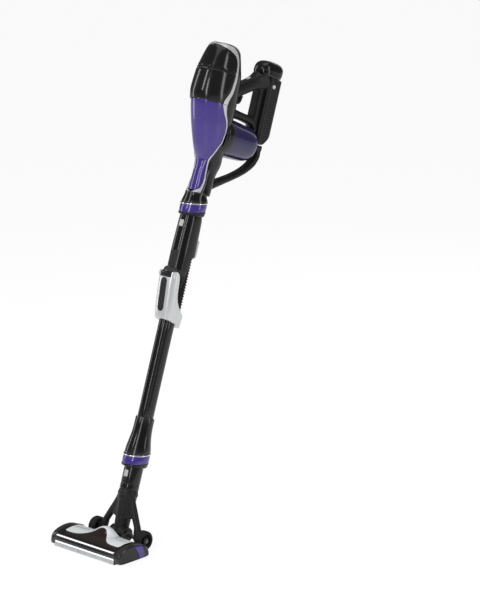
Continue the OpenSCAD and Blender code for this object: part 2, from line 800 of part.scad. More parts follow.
module fold_pin() {
  color("#c9cccf") stick() cross_pin(fold_pin_r, 2 * (barrel_hw + gap + ear_t), fold_p, fold_s);
}
module lower_tube() {
  color("#1a1a1c") on_axis(tube_s - 14) difference() {
    linear_extrude(height = lower_tube_len + 32) oval(tube_w, tube_d);
    translate([0, 0, -1]) linear_extrude(height = lower_tube_len + 34)
      oval(tube_w - 2 * tube_wall, tube_d - 2 * tube_wall);
  }
}
tube_seat = 14;
module tube_end() {
  color("#17171a") on_axis(low_collar_s) difference() {
    rotate_extrude() polygon([
      [0, 0], [socket_r + socket_wall, 0], [socket_r + socket_wall, collar_h + ring_h],
      [collar_r - 1, collar_h + ring_h], [collar_r - 1.4, collar_h + ring_h + 12],
      [27, collar_h + ring_h + 28], [23.5, collar_h + ring_h + 48], [22.5, collar_h + ring_h + tube_end_h],
      [0, collar_h + ring_h + tube_end_h]
    ]);
    translate([0, 0, -1]) cylinder(r = socket_r, h = spigot_len + 2);
    cylinder(r = 14.5, h = 120);
    translate([0, 0, collar_h + ring_h + tube_end_h - tube_seat])
      linear_extrude(height = tube_seat + 1) oval(tube_w + 0.1, tube_d + 0.1);
  }
}
module lower_chrome_ring() {
  color("silver") on_axis(low_ring_s) chrome_ring();
}
module lower_collar() {
  color("#3b2f7d") on_axis(low_collar_s) collar();
}

// ---- neck, yoke and wheels
neck_r = 22.5;
stub_r = 17.5;
module neck_tube() {
  color("#1a1a1c") on_axis(0) difference() {
    union() {
      translate([0, 0, swivel_s - 14]) cylinder(r = stub_r, h = 20);
      translate([0, 0, swivel_s + gap]) cylinder(r = neck_r, h = lip_s - swivel_s - gap);
      translate([0, 0, lip_s]) cylinder(r = spigot_r, h = lip_h + spigot_len);
      translate([0, 0, lip_s]) rotate_extrude() polygon([
        [spigot_r - 1, -4], [neck_r, -4], [collar_r - 3, 0], [collar_r - 2, 2], [collar_r - 2, lip_h - 4],
        [collar_r - 0.5, lip_h - 3], [collar_r - 0.5, lip_h - gap], [spigot_r - 1, lip_h - gap]
      ]);
    }
    translate([0, 0, swivel_s - 15]) cylinder(r = spigot_r - spigot_wall - 1.5, h = 130);
    translate([0, -30, head_button_s]) rotate([-90, 0, 0])
      linear_extrude(height = 16) rounded_rect(11 + 2 * gap, 16 + 2 * gap, 2 + gap);
  }
}
head_button_s = lip_s - 18;
module head_button() {
  color("silver") on_axis(head_button_s) translate([0, -neck_r - 0.6, 0]) rotate([-90, 0, 0])
    linear_extrude(height = 3.5) rounded_rect(11, 16, 2);
}
duct_r = 17;
duct_barrel_hw = 24;
lug_t = 7;
lug_x = duct_barrel_hw + lug_t + gap;
wheel_x = head_w / 2 - 47.5;
leg_end_x = wheel_x - gap;
module yoke_leg(side) {
  hull() {
    translate([side * 13, tube_axis_p - 2, swivel_s - 16]) cylinder(r = 8, h = 12, $fn = 32);
    translate([side * (leg_end_x - 13), -2, 22]) sphere(r = 7.5, $fn = 24);
  }
  hull() {
    translate([side * (leg_end_x - 13), -2, 22]) sphere(r = 7.5, $fn = 24);
    translate([side > 0 ? leg_end_x - 14 : -leg_end_x, 0, 0]) rotate([0, 90, 0])
      cylinder(r = 9, h = 14, $fn = 32);
  }
}
module yoke() {
  color("#1c1c1f") stick() difference() {
    union() {
      yoke_leg(-1);
      yoke_leg(1);
      translate([0, tube_axis_p, swivel_s - 24]) cylinder(r = neck_r, h = 24);
      cross_pin(duct_r + 1, 2 * duct_barrel_hw);
      hull() {
        translate([0, tube_axis_p, swivel_s - 24]) cylinder(r = neck_r - 2, h = 4, $fn = 32);
        translate([0, 0, 4]) cylinder(r = duct_r, h = 4, $fn = 32);
      }
    }
    translate([0, tube_axis_p, swivel_s - 18]) cylinder(r = stub_r + run, h = 30);
    translate([0, tube_axis_p / 2, 10]) cylinder(r = 11, h = 90);
    cross_pin(axle_r + run, 250);
    // room at the front of the barrel, where air comes in from the floor head
    translate([-15, -30, -11]) cube([30, 26, 20]);
  }
}
module neck_axle() {
  color("#c9cccf") translate([0, axle_y, axle_z]) cross_pin(axle_r, 2 * (wheel_x + wheel_w) + 2);
}
module wheel(side) {
  color("#2b2b2e") translate([side * (wheel_x + wheel_w / 2), axle_y, axle_z]) rotate([0, side * 90, 0])
    difference() {
      rotate_extrude() polygon([
        [axle_r + run, -wheel_w / 2], [wheel_r - 3, -wheel_w / 2], [wheel_r, -wheel_w / 2 + 3],
        [wheel_r, wheel_w / 2 - 3], [wheel_r - 3, wheel_w / 2], [wheel_r - 7, wheel_w / 2],
        [wheel_r - 9, wheel_w / 2 - 5], [axle_r + 5, wheel_w / 2 - 5], [axle_r + 4, wheel_w / 2],
        [axle_r + run, wheel_w / 2]
      ]);
      for (i = [0 : 4]) rotate(i * 72) translate([(wheel_r + axle_r) / 2 - 0.5, 0, -wheel_w / 2 - 1])
        cylinder(r = 2.6, h = wheel_w + 2);
    }
}
module wheel_left() {
  wheel(-1);
}
module wheel_right() {
  wheel(1);
}

// ---- floor head
front_y = -head_d / 2;
rear_y = front_y + 88;
inner_hw = head_w / 2 - cap_t;
brush_y = front_y + 28;
brush_z = brush_r + 1.5;
chamber_r = brush_r + 1.2;
head_motor_y = 20;
head_motor_z = 16;
head_motor_r = 10.5;
head_motor_x = lug_x + 5;
head_motor_len = 46;
sole_t = 3;
// tops of the casing along the head's depth, [y, z]
top_line = [
  [front_y + 3, 26], [front_y + 12, 30], [front_y + 28, 34.5], [front_y + 46, 36], [front_y + 62, 35],
  [rear_y - 14, 31], [rear_y, 24]
];
module head_base() {
  color("#1e1e21") difference() {
    union() {
      side_plate([
        [front_y, sole_t], [front_y, 12], [front_y + 2, 20], [front_y + 8, 20], [front_y + 10, sole_t + 2],
        [front_y + 50, sole_t + 2], [front_y + 50, 30], [front_y + 52.5, 30], [front_y + 52.5, sole_t + 2],
        [rear_y - 3, sole_t + 2], [rear_y - 3, 20], [rear_y, 20], [rear_y, sole_t]
      ], -inner_hw + gap, inner_hw - gap);
      for (x = [-1, 1]) side_plate([
        [front_y + 4, sole_t], [front_y + 4, 20], [front_y + 14, 26], [front_y + 50, 30], [rear_y - 14, 26],
        [rear_y, 20], [rear_y, sole_t]
      ], x > 0 ? inner_hw - gap - 3 : -inner_hw + gap, x > 0 ? inner_hw - gap : -inner_hw + gap + 3);
      for (x = [-1, 1]) translate([x * (lug_x - lug_t / 2), 0, 0]) {
        side_plate([[rear_y - 10, sole_t], [axle_y, axle_z - 11], [axle_y, axle_z + 9], [rear_y - 10, 24]],
          -lug_t / 2, lug_t / 2);
        translate([0, axle_y, axle_z]) cross_pin(10, lug_t);
      }
    }
    // brush chamber, open to the sole
    translate([0, brush_y, brush_z]) cross_pin(chamber_r, 2 * inner_hw - 8);
    translate([-inner_hw + 5, brush_y - 15, -1]) cube([2 * inner_hw - 10, 30, 12]);
    cross_pin(axle_r + run, 300, axle_y, axle_z);
    cross_pin(axle_r + run, 2 * inner_hw + 10, brush_y, brush_z);
    cross_pin_from(3 + run, inner_hw + 10, head_motor_y, head_motor_z);
    // way through the wall behind the brush for the air
    translate([-18, front_y + 45, 9]) cube([36, 12, 16]);
  }
}
hump_rings = [
  [front_y + 26, 24, 0, 10, 12, 2.2], [front_y + 42, 26, 0, 22, 17, 2.2], [front_y + 58, 27, 0, 30, 23, 2.3],
  [front_y + 76, 27, 0, 33, 26, 2.4], [rear_y - 2, 26, 0, 33, 24, 2.4]
];
cover_t = 2.4;
hump_core_rings = [for (r = hump_rings)
  [r[0] + (r[0] > rear_y - 10 ? 4 : 0), r[1], r[2], r[3] - cover_t, r[4] - cover_t, r[5]]];
module head_cover() {
  color("#dfe3e4") difference() {
    union() {
      difference() {
        side_plate(concat([for (i = [3 : 6]) top_line[i]], [
          [rear_y, 20.2], [rear_y - cover_t, 20.2], [rear_y - cover_t - 1, 23],
          [rear_y - 15, 31 - cover_t], [front_y + 62, 35 - cover_t], [front_y + 46, 36 - cover_t]
        ]), -inner_hw + gap + 3.2, inner_hw - gap - 3.2);
        translate([-29, front_y + 40, 10]) cube([58, 60, 40]);
      }
      difference() {
        skin(hump_rings);
        skin(hump_core_rings);
        translate([-60, front_y - 10, -20]) cube([120, 70, 50.2]);
        translate([-60, front_y + 45, -20]) cube([120, 70, 44]);
        translate([-28, rear_y - 6, 0]) cube([56, 10, 60]);
        translate([-60, front_y + 20, -20]) cube([120, 28, 90]);
      }
    }
    // row of small air slots behind each wing
    for (x = [-1, 1], i = [0 : 4]) translate([x * (44 + i * 9), front_y + 70, 36]) rotate([20, 0, 0])
      cube([6, 3, 20], center = true);
    translate([0, axle_y, axle_z]) cross_pin(duct_r + 2.5, 2 * duct_barrel_hw + 4);
    for (x = [-1, 1]) translate([x * (lug_x - lug_t / 2), rear_y + 9, 13])
      cube([lug_t + 2 * gap, 40, 42], center = true);
  }
}
module brush_window() {
  color([0.35, 0.2, 0.2, 0.5]) side_plate([
    [front_y + 6, 26.5], [front_y + 12, 30], [front_y + 28, 34.5], [front_y + 46 - gap, 36],
    [front_y + 46 - gap, 34], [front_y + 28, 32.6], [front_y + 12, 28.2], [front_y + 6, 24.8]
  ], -inner_hw + gap + 3.2, inner_hw - gap - 3.2);
}
cap_line = [
  [front_y, 1], [front_y, 14], [front_y + 3, 23], [front_y + 12, 30], [front_y + 30, 35], [front_y + 48, 36],
  [front_y + 68, 34], [front_y + 84, 28], [front_y + 96, 18], [front_y + 99, 8], [front_y + 98, 1]
];
cap_room = [
  [front_y + 3, 3.5], [front_y + 3, 14], [front_y + 6, 21], [front_y + 14, 27.5], [front_y + 30, 32],
  [front_y + 48, 33], [front_y + 66, 31.5], [front_y + 82, 26], [front_y + 92, 17], [front_y + 94, 3.5]
];
module end_cap(side) {
  x_in = inner_hw;
  x_out = head_w / 2;
  mirror([side > 0 ? 0 : 1, 0, 0]) difference() {
    union() {
      side_plate(cap_line, x_in, x_out - 2);
      side_plate([for (q = cap_line) [front_y + 49 + (q[0] - front_y - 49) * 0.97, 1 + (q[1] - 1) * 0.96]],
        x_out - 2, x_out);
    }
    side_plate(cap_room, x_in - 1, x_out - 3);
    band_shape(x_out - 1.2, x_out + 1);
  }
}
module end_caps() {
  color("#2a2b2e") {
    end_cap(-1);
    end_cap(1);
  }
}
// curved band across a cap's outer side
module band_shape(x0, x1) {
  intersection() {
    translate([x0, front_y + 12, -22]) rotate([0, 90, 0]) difference() {
      cylinder(r = 66, h = x1 - x0);
      translate([0, 0, -1]) cylinder(r = 52, h = x1 - x0 + 2);
    }
    translate([x0, front_y + 34, 2]) cube([x1 - x0, 60, 32]);
  }
}
module purple_bands() {
  color("#3b2f7d") for (side = [-1, 1]) mirror([side > 0 ? 0 : 1, 0, 0])
    band_shape(head_w / 2 - 1.2, head_w / 2);
}
module light_strips() {
  color("white") {
    side_plate([
      [front_y + 2.4, 20.4], [front_y + 1.2, 22], [front_y + 2.6, 24.6], [front_y + 5.6, 26.2], [front_y + 5.6, 20.4]
    ], -inner_hw + gap + 3.2, inner_hw - gap - 3.2);
    side_plate([
      [front_y - 1, 10], [front_y - 1, 13], [front_y, 13], [front_y, 10]
    ], -inner_hw + 1, inner_hw - 1);
  }
}
module sole_plate() {
  color("#3a3b3e") difference() {
    translate([-inner_hw + gap, front_y + 1, 0]) cube([2 * (inner_hw - gap), rear_y - front_y - 1, sole_t - 0.02]);
    translate([-inner_hw + 6, brush_y - 14, -1]) cube([2 * inner_hw - 12, 28, sole_t + 2]);
    for (x = [-1, 1], y = [front_y + 54, rear_y - 6]) translate([x * (inner_hw - 8), y, -1]) cylinder(r = 1.6, h = 6);
  }
}
module brush_motor() {
  color("#8f9296") difference() {
    union() {
      translate([head_motor_x, head_motor_y, head_motor_z]) rotate([0, 90, 0])
        cylinder(r = head_motor_r, h = head_motor_len);
      translate([head_motor_x + head_motor_len - 6, head_motor_y - 8, sole_t + 2.1]) cube([3, 16, 8]);
    }
    translate([head_motor_x + head_motor_len - 8, head_motor_y, head_motor_z]) rotate([0, 90, 0])
      cylinder(r = 2 + run, h = 30);
  }
}
fins = 6;
brush_hl = inner_hw - 6;
module brush_roll() {
  color("#7a2a2a") translate([0, brush_y, brush_z]) {
    cross_pin(core_r, 2 * brush_hl);
    cross_pin(axle_r, 2 * (inner_hw - 0.6));
    cross_pin_from(axle_r, inner_hw + 9, 0, 0);
    translate([inner_hw + 2, 0, 0]) cross_pin_from(brush_pulley_r, 7, 0, 0);
    for (i = [0 : fins - 1]) rotate([i * 360 / fins, 0, 0]) translate([-brush_hl + 1, -1, core_r - 1])
      cube([2 * brush_hl - 2, 2, brush_r - core_r + 1]);
  }
}
module motor_pulley() {
  color("#c9cccf") translate([0, head_motor_y, head_motor_z]) {
    translate([head_motor_x + head_motor_len - 7, 0, 0])
      cross_pin_from(2, inner_hw + 9 - head_motor_x - head_motor_len + 7, 0, 0);
    translate([inner_hw + 2, 0, 0]) cross_pin_from(motor_pulley_r, 7, 0, 0);
  }
}

// loop around the two pulleys, in the right end cap
belt_t = 1.4;
module belt_outline(extra) {
  hull() {
    translate([brush_y, brush_z]) circle(r = brush_pulley_r + run + extra, $fn = 48);
    translate([head_motor_y, head_motor_z]) circle(r = motor_pulley_r + run + extra, $fn = 48);
  }
}
module drive_belt() {
  color("#101010") translate([inner_hw + 3, 0, 0]) rotate([90, 0, 90]) linear_extrude(height = 5)
    difference() {
      belt_outline(belt_t);
      belt_outline(0);
    }
}

front_cover();
rear_frame();
neck_flare();
upper_chrome_ring();
upper_collar();
dust_cup();
cyclone_cone();
filter_cartridge();
dust_lid();
lid_pin();
frame_trims();
cover_trim();
handle_left();
handle_right();
palm_cap();
case_fasteners();
trigger();
power_slider();
motor_drum();
drum_end_cap();
motor();
motor_bearings();
motor_shaft();
impeller();
control_board();
battery_case();
battery_cells();
charge_jack();
battery_button();
wand_spigot();
flex_arm_left();
flex_arm_right();
arm_strip();
wand_button();
fold_button();
flex_hose();
flex_fork();
fork_insert();
fold_pin();
lower_tube();
tube_end();
lower_chrome_ring();
lower_collar();
neck_tube();
head_button();
yoke();
neck_axle();
wheel_left();
wheel_right();
head_base();
head_cover();
brush_window();
end_caps();
purple_bands();
light_strips();
sole_plate();
brush_motor();
brush_roll();
motor_pulley();
drive_belt();
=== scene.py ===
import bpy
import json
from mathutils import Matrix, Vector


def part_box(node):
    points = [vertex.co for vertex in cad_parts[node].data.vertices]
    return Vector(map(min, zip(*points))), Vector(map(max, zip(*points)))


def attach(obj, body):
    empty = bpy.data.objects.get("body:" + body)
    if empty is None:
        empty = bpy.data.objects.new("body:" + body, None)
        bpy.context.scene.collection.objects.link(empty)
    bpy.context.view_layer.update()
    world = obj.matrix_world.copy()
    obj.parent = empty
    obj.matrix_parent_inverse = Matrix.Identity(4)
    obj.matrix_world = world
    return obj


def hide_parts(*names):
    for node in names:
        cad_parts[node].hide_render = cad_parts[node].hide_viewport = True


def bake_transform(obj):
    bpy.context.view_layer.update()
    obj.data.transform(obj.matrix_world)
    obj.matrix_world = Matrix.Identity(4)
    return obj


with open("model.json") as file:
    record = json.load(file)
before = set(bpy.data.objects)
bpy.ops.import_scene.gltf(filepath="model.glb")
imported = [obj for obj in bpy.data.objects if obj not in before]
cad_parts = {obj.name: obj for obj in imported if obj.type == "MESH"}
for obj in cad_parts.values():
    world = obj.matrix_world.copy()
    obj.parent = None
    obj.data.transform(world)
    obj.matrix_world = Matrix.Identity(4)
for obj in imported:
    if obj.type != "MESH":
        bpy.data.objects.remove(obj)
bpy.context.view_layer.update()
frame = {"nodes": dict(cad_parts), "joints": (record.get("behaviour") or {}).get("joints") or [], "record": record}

import bpy
import bmesh
import json
import math
import numpy as np
from mathutils import Matrix, Quaternion, Vector

mm = 0.001
scene = bpy.context.scene
joints = {joint["name"]: joint for joint in frame["joints"]}
slotOf = {part["node"]: part["material_slot"] for part in frame["record"]["subparts"]}

# the leaning stick has its own axes: x across, p to the rear, s up along it, in mm
axlePoint = Vector(joints["head_pitch"]["pos_m"])
alongStick = Vector(joints["neck_swivel"]["axis"]).normalized()
acrossStick = Vector((1, 0, 0))
rearOfStick = alongStick.cross(acrossStick)


def stick(x, p, s):
    return axlePoint + (acrossStick * x + rearOfStick * p + alongStick * s) * mm


def toStick(point):
    away = (point - axlePoint) / mm
    return away.x, away.dot(rearOfStick), away.dot(alongStick)


def stickBox(node):
    places = np.array([toStick(v.co) for v in frame["nodes"][node].data.vertices])
    return places.min(0), places.max(0)


def middleOf(node):
    low, high = stickBox(node)
    return (low[1] + high[1]) / 2, (low[2] + high[2]) / 2


def floorPoint(x, y, z):
    return Vector((x, y, z)) * mm


print("frame loaded,", len(frame["nodes"]), "nodes")

# ---------- mesh tools


def power(value, exponent):
    return math.copysign(abs(value) ** exponent, value)


def smoothThrough(rows):
    # a smooth curve through rows of [position, values...] that never overshoots them
    data = np.array(sorted(rows), float)
    at, values = data[:, 0], data[:, 1:]
    step = np.diff(at)[:, None]
    slope = np.diff(values, axis=0) / step
    tangent = np.zeros_like(values)
    tangent[0], tangent[-1] = slope[0], slope[-1]
    for i in range(1, len(at) - 1):
        a, b = slope[i - 1], slope[i]
        same = a * b > 0
        safeA, safeB = np.where(same, a, 1), np.where(same, b, 1)
        tangent[i] = np.where(same, 2 / (1 / safeA + 1 / safeB), 0)

    def value(position):
        position = min(max(position, at[0]), at[-1])
        i = min(int(np.searchsorted(at, position, side="right")) - 1, len(at) - 2)
        h = at[i + 1] - at[i]
        t = (position - at[i]) / h
        found = ((2 * t ** 3 - 3 * t ** 2 + 1) * values[i] + (t ** 3 - 2 * t ** 2 + t) * h * tangent[i]
                 + (3 * t ** 2 - 2 * t ** 3) * values[i + 1] + (t ** 3 - t ** 2) * h * tangent[i + 1])
        return found if len(found) > 1 else float(found[0])
    return value


def steps(start, stop, size):
    return np.linspace(start, stop, max(2, round(abs(stop - start) / size) + 1))


def newObject(name, points, faces):
    mesh = bpy.data.meshes.new(name)
    mesh.from_pydata([tuple(point) for point in points], [], faces)
    made = bpy.data.objects.new(name, mesh)
    scene.collection.objects.link(made)
    return made


def gridPiece(name, rows, around=False, caps=False):
    count = len(rows[0])
    faces = []
    for j in range(len(rows) - 1):
        for i in range(count if around else count - 1):
            a, b = j * count + i, j * count + (i + 1) % count
            faces.append((a, b, b + count, a + count))
    if caps:
        last = (len(rows) - 1) * count
        faces += [list(range(count))[::-1], [last + i for i in range(count)]]
    made = newObject(name, [point for row in rows for point in row], faces)
    if around:
        tidyMesh(made)
    return made


def tidyMesh(piece):
    work = bmesh.new()
    work.from_mesh(piece.data)
    bmesh.ops.remove_doubles(work, verts=work.verts, dist=2e-6)
    bmesh.ops.dissolve_degenerate(work, edges=work.edges, dist=1e-6)
    bmesh.ops.recalc_face_normals(work, faces=work.faces)
    work.to_mesh(piece.data)
    work.free()
    return piece


def applyAll(piece):
    bpy.context.view_layer.update()
    graph = bpy.context.evaluated_depsgraph_get()
    result = bpy.data.meshes.new_from_object(piece.evaluated_get(graph))
    piece.modifiers.clear()
    old = piece.data
    piece.data = result
    bpy.data.meshes.remove(old)
    return piece


def addModifier(piece, kind, **settings):
    made = piece.modifiers.new(kind.lower(), kind)
    for key, value in settings.items():
        setattr(made, key, value)
    return made


def thicken(piece, wall, rim=0.35, inward=True):
    addModifier(piece, "SOLIDIFY", thickness=wall * mm, offset=-1 if inward else 1, use_even_offset=True)
    roundEdges(piece, rim)
    return piece


def roundEdges(piece, radius, limit=38, segments=2):
    addModifier(piece, "BEVEL", width=radius * mm, segments=segments, limit_method="ANGLE",
                angle_limit=math.radians(limit), use_clamp_overlap=True)
    return applyAll(piece)


def carve(piece, cutter, operation="DIFFERENCE"):
    addModifier(piece, "BOOLEAN", object=cutter, operation=operation, solver="EXACT")
    applyAll(piece)
    bpy.data.objects.remove(cutter)
    return piece


def joined(name, solids):
    work = bmesh.new()
    for solid in solids:
        work.from_mesh(solid.data)
        bpy.data.objects.remove(solid)
    mesh = bpy.data.meshes.new(name)
    work.to_mesh(mesh)
    work.free()
    made = bpy.data.objects.new(name, mesh)
    scene.collection.objects.link(made)
    return made


def blended(name, solids, voxel, rounds):
    # closed solids melted into one moulding with soft inner corners
    made = joined(name, solids)
    addModifier(made, "REMESH", mode="VOXEL", voxel_size=voxel * mm)
    addModifier(made, "SMOOTH", factor=0.5, iterations=rounds)
    return applyAll(made)


def halfOf(piece, name, side, slit=0.12):
    half = newObject(name, [], [])
    half.data = piece.data.copy()
    work = bmesh.new()
    work.from_mesh(half.data)
    everything = work.verts[:] + work.edges[:] + work.faces[:]
    cut = bmesh.ops.bisect_plane(work, geom=everything, plane_co=(side * slit * mm, 0, 0),
                                 plane_no=(side, 0, 0), clear_inner=True)
    rim = [item for item in cut["geom_cut"] if isinstance(item, bmesh.types.BMEdge)]
    bmesh.ops.holes_fill(work, edges=rim, sides=0)
    work.to_mesh(half.data)
    work.free()
    return half


def ringAngles(count):
    return [2 * math.pi * i / count for i in range(count)]


def stickRing(s, w, front, rear, e, count=72, grow=0.0):
    middle, depth = (front + rear) / 2, (rear - front) / 2 + grow
    return [stick((w + grow) * power(math.cos(a), 2 / e), middle + depth * power(math.sin(a), 2 / e), s)
            for a in ringAngles(count)]


def stickLoft(name, rows, e, size=3.0, grow=0.0, count=72, low=None, high=None):
    # closed solid through rows of [s, half width, front, rear]
    section = smoothThrough(rows)
    ends = min(row[0] for row in rows), max(row[0] for row in rows)
    levels = steps(ends[0] if low is None else low, ends[1] if high is None else high, size)
    return gridPiece(name, [stickRing(s, *section(s), e, count, grow) for s in levels], True, True)


def sweep(name, rings, per=6, count=40):
    # closed solid through rings of [p, s, heading, half width, half height, squareness]
    path = smoothThrough([[i] + list(ring) for i, ring in enumerate(rings)])
    rows = []
    for u in np.linspace(0, len(rings) - 1, (len(rings) - 1) * per + 1):
        p, s, heading, w, h, e = path(u)
        up = math.radians(heading)
        rows.append([stick(w * power(math.cos(a), 2 / e),
                           p - h * power(math.sin(a), 2 / e) * math.sin(up),
                           s + h * power(math.sin(a), 2 / e) * math.cos(up)) for a in ringAngles(count)])
    return gridPiece(name, rows, True, True)


def lathe(name, profile, centre, axis, turns=96, start=(1, 0, 0)):
    # profile is [radius, height along axis], closed on itself
    axis = Vector(axis).normalized()
    side = Vector(start) - axis * Vector(start).dot(axis)
    side.normalize()
    other = axis.cross(side)
    rows = []
    for r, h in profile + [profile[0]]:
        rows.append([Vector(centre) + (axis * h + (side * math.cos(a) + other * math.sin(a)) * max(r, 0.01)) * mm
                     for a in ringAngles(turns)])
    return gridPiece(name, rows, True)


def softProfile(corners, radius=0.8, parts=3):
    # rounds the corners of a closed profile of [radius, height]
    found = []
    for i, corner in enumerate(corners):
        here = np.array(corner, float)
        before, after = np.array(corners[i - 1], float), np.array(corners[(i + 1) % len(corners)], float)
        back, ahead = before - here, after - here
        reach = min(radius, np.linalg.norm(back) * 0.45, np.linalg.norm(ahead) * 0.45)
        a = here + back / np.linalg.norm(back) * reach
        b = here + ahead / np.linalg.norm(ahead) * reach
        for k in range(parts + 1):
            t = k / parts
            found.append(list((1 - t) ** 2 * a + 2 * t * (1 - t) * here + t ** 2 * b))
    return found


def sideSlab(name, outline, x0, x1, place=stick):
    # a plate across the part, cut from an outline in the side plane
    return gridPiece(name, [[place(x, *q) for q in outline] for x in (x0, x1)], True, True)


def roundedRect(w, d, r, parts=5):
    corners = [(w / 2 - r, d / 2 - r, 0), (-w / 2 + r, d / 2 - r, 90),
               (-w / 2 + r, -d / 2 + r, 180), (w / 2 - r, -d / 2 + r, 270)]
    return [(x + r * math.cos(math.radians(turn + 90 * k / parts)),
             y + r * math.sin(math.radians(turn + 90 * k / parts)))
            for x, y, turn in corners for k in range(parts + 1)]


def seatCutter(outline, s, near, far):
    # a block through the stick from near to far, cut from an outline of [across, up]
    return gridPiece("seat", [[stick(x, p, s + h) for x, h in outline] for p in (near, far)], True, True)


def diamondAt(x, s, pitch):
    return math.cos(2 * math.pi * (x + s) / pitch) * math.cos(2 * math.pi * (x - s) / pitch)


def shadeByAngle(piece, limit=32):
    work = bmesh.new()
    work.from_mesh(piece.data)
    for face in work.faces:
        face.smooth = True
    for edge in work.edges:
        edge.smooth = len(edge.link_faces) == 2 and edge.calc_face_angle(0) < math.radians(limit)
    work.to_mesh(piece.data)
    work.free()


# ---------- materials


class Wire:
    def __init__(self, shader, socket):
        self.shader = shader
        self.socket = socket

    def maths(self, operation, first, second):
        return self.shader.node("ShaderNodeMath", {"operation": operation}, {0: first, 1: second})

    def __add__(self, other):
        return self.maths("ADD", self, other)

    def __radd__(self, other):
        return self.maths("ADD", other, self)

    def __sub__(self, other):
        return self.maths("SUBTRACT", self, other)

    def __rsub__(self, other):
        return self.maths("SUBTRACT", other, self)

    def __mul__(self, other):
        return self.maths("MULTIPLY", self, other)

    def __rmul__(self, other):
        return self.maths("MULTIPLY", other, self)


class Shader:
    def __init__(self, name):
        self.material = bpy.data.materials.new(name)
        self.material.use_nodes = True
        self.tree = self.material.node_tree
        self.tree.nodes.clear()
        self.place = self.node("ShaderNodeTexCoord", output="Object")

    def node(self, kind, settings=None, inputs=None, output=0):
        made = self.tree.nodes.new(kind)
        for key, value in (settings or {}).items():
            if key == "stops":
                for stop, (where, shade) in zip(made.color_ramp.elements, value):
                    stop.position, stop.color = where, (shade, shade, shade, 1)
            else:
                setattr(made, key, value)
        for key, value in (inputs or {}).items():
            if isinstance(value, Wire):
                self.tree.links.new(value.socket, made.inputs[key])
            else:
                made.inputs[key].default_value = value
        return Wire(self, made.outputs[output])

    def noise(self, scale, detail=3.0, rough=0.5):
        return self.node("ShaderNodeTexNoise", {}, {"Vector": self.place, "Scale": scale, "Detail": detail,
                                                    "Roughness": rough})

    def ramp(self, value, low, high, shadeLow=0.0, shadeHigh=1.0):
        return self.node("ShaderNodeValToRGB", {"stops": [(low, shadeLow), (high, shadeHigh)]}, {"Fac": value})

    def mix(self, amount, first, second):
        return self.node("ShaderNodeMix", {"data_type": "RGBA"}, {0: amount, 6: first, 7: second}, 2)

    def edges(self):
        bent = self.node("ShaderNodeNewGeometry", output="Pointiness")
        return self.ramp(bent, 0.51, 0.60)

    def bump(self, height, strength, distance):
        return self.node("ShaderNodeBump", {}, {"Height": height, "Strength": strength, "Distance": distance})

    def finish(self, **inputs):
        named = {key.replace("_", " "): value for key, value in inputs.items()}
        out = self.node("ShaderNodeBsdfPrincipled", {}, named)
        end = self.tree.nodes.new("ShaderNodeOutputMaterial")
        self.tree.links.new(out.socket, end.inputs["Surface"])
        return self.material


def tone(colour, factor):
    return tuple(min(1, c * factor) for c in colour[:3]) + (1,)


def lacquer(name, colour, rough=0.12, coat=0.7, wear=0.25, shine=0.5):
    # polished moulding under a clear coat, with faint handling marks
    look = Shader(name)
    cloud = look.noise(14, 4)
    marks = look.ramp(look.noise(420, 6, 0.7), 0.45, 0.75)
    base = look.mix(cloud, tone(colour, 0.82), tone(colour, 1.16))
    base = look.mix(look.edges() * wear, base, tone([c * 0.5 + 0.25 for c in colour], 1))
    waves = look.bump(look.noise(60, 2), 0.04, 0.002)
    return look.finish(Base_Color=base, Roughness=rough + marks * 0.08 + cloud * 0.04, Coat_Weight=coat,
                       Coat_Roughness=0.04, Normal=waves, Specular_IOR_Level=shine)


def moulded(name, colour, rough=0.45, grain=900, depth=0.25, coat=0.0, wear=0.35):
    # spark-eroded plastic: a fine even grain, rubbed smoother and paler along the edges
    look = Shader(name)
    fine = look.noise(grain, 3, 0.6)
    cloud = look.noise(22, 4)
    rubbed = look.edges()
    base = look.mix(cloud, tone(colour, 0.8), tone(colour, 1.25))
    base = look.mix(rubbed * wear, base, tone([c * 0.6 + 0.12 for c in colour], 1))
    surface = look.bump(fine, depth, 0.0004)
    return look.finish(Base_Color=base, Roughness=rough + fine * 0.14 - rubbed * 0.12, Normal=surface,
                       Coat_Weight=coat, Coat_Roughness=0.12, Specular_IOR_Level=0.35)


def metal(name, colour, rough=0.2, metallic=1.0, streaks=0.1, grain=1500, coat=0.0):
    look = Shader(name)
    flake = look.noise(grain, 2, 0.5)
    cloud = look.noise(18, 4)
    base = look.mix(cloud, tone(colour, 0.9), tone(colour, 1.06))
    base = look.mix(flake * streaks, base, tone(colour, 0.7))
    return look.finish(Base_Color=base, Metallic=metallic, Roughness=rough + flake * 0.1 + cloud * 0.05,
                       Coat_Weight=coat, Coat_Roughness=0.05, Normal=look.bump(flake, 0.05, 0.0002))


def smoked(name, colour, alpha, thin=0.12):
    # tinted clear plastic, a little denser in places, with fine dust on it
    look = Shader(name)
    cloud = look.noise(24, 3)
    dust = look.ramp(look.noise(700, 5, 0.7), 0.56, 0.72)
    base = look.mix(cloud, tone(colour, 0.8), tone(colour, 1.2))
    base = look.mix(dust * 0.12, base, (0.5, 0.48, 0.46, 1))
    return look.finish(Base_Color=base, Roughness=0.08 + dust * 0.2, Alpha=alpha + cloud * thin, Coat_Weight=0.6,
                       Coat_Roughness=0.03)


def rubber(name, colour):
    look = Shader(name)
    fine = look.noise(1300, 4, 0.7)
    scuff = look.ramp(look.noise(90, 5, 0.6), 0.5, 0.8)
    base = look.mix(scuff * 0.5, tone(colour, 0.9), tone(colour, 1.9))
    return look.finish(Base_Color=base, Roughness=0.62 + fine * 0.2, Normal=look.bump(fine, 0.3, 0.0004),
                       Specular_IOR_Level=0.3)


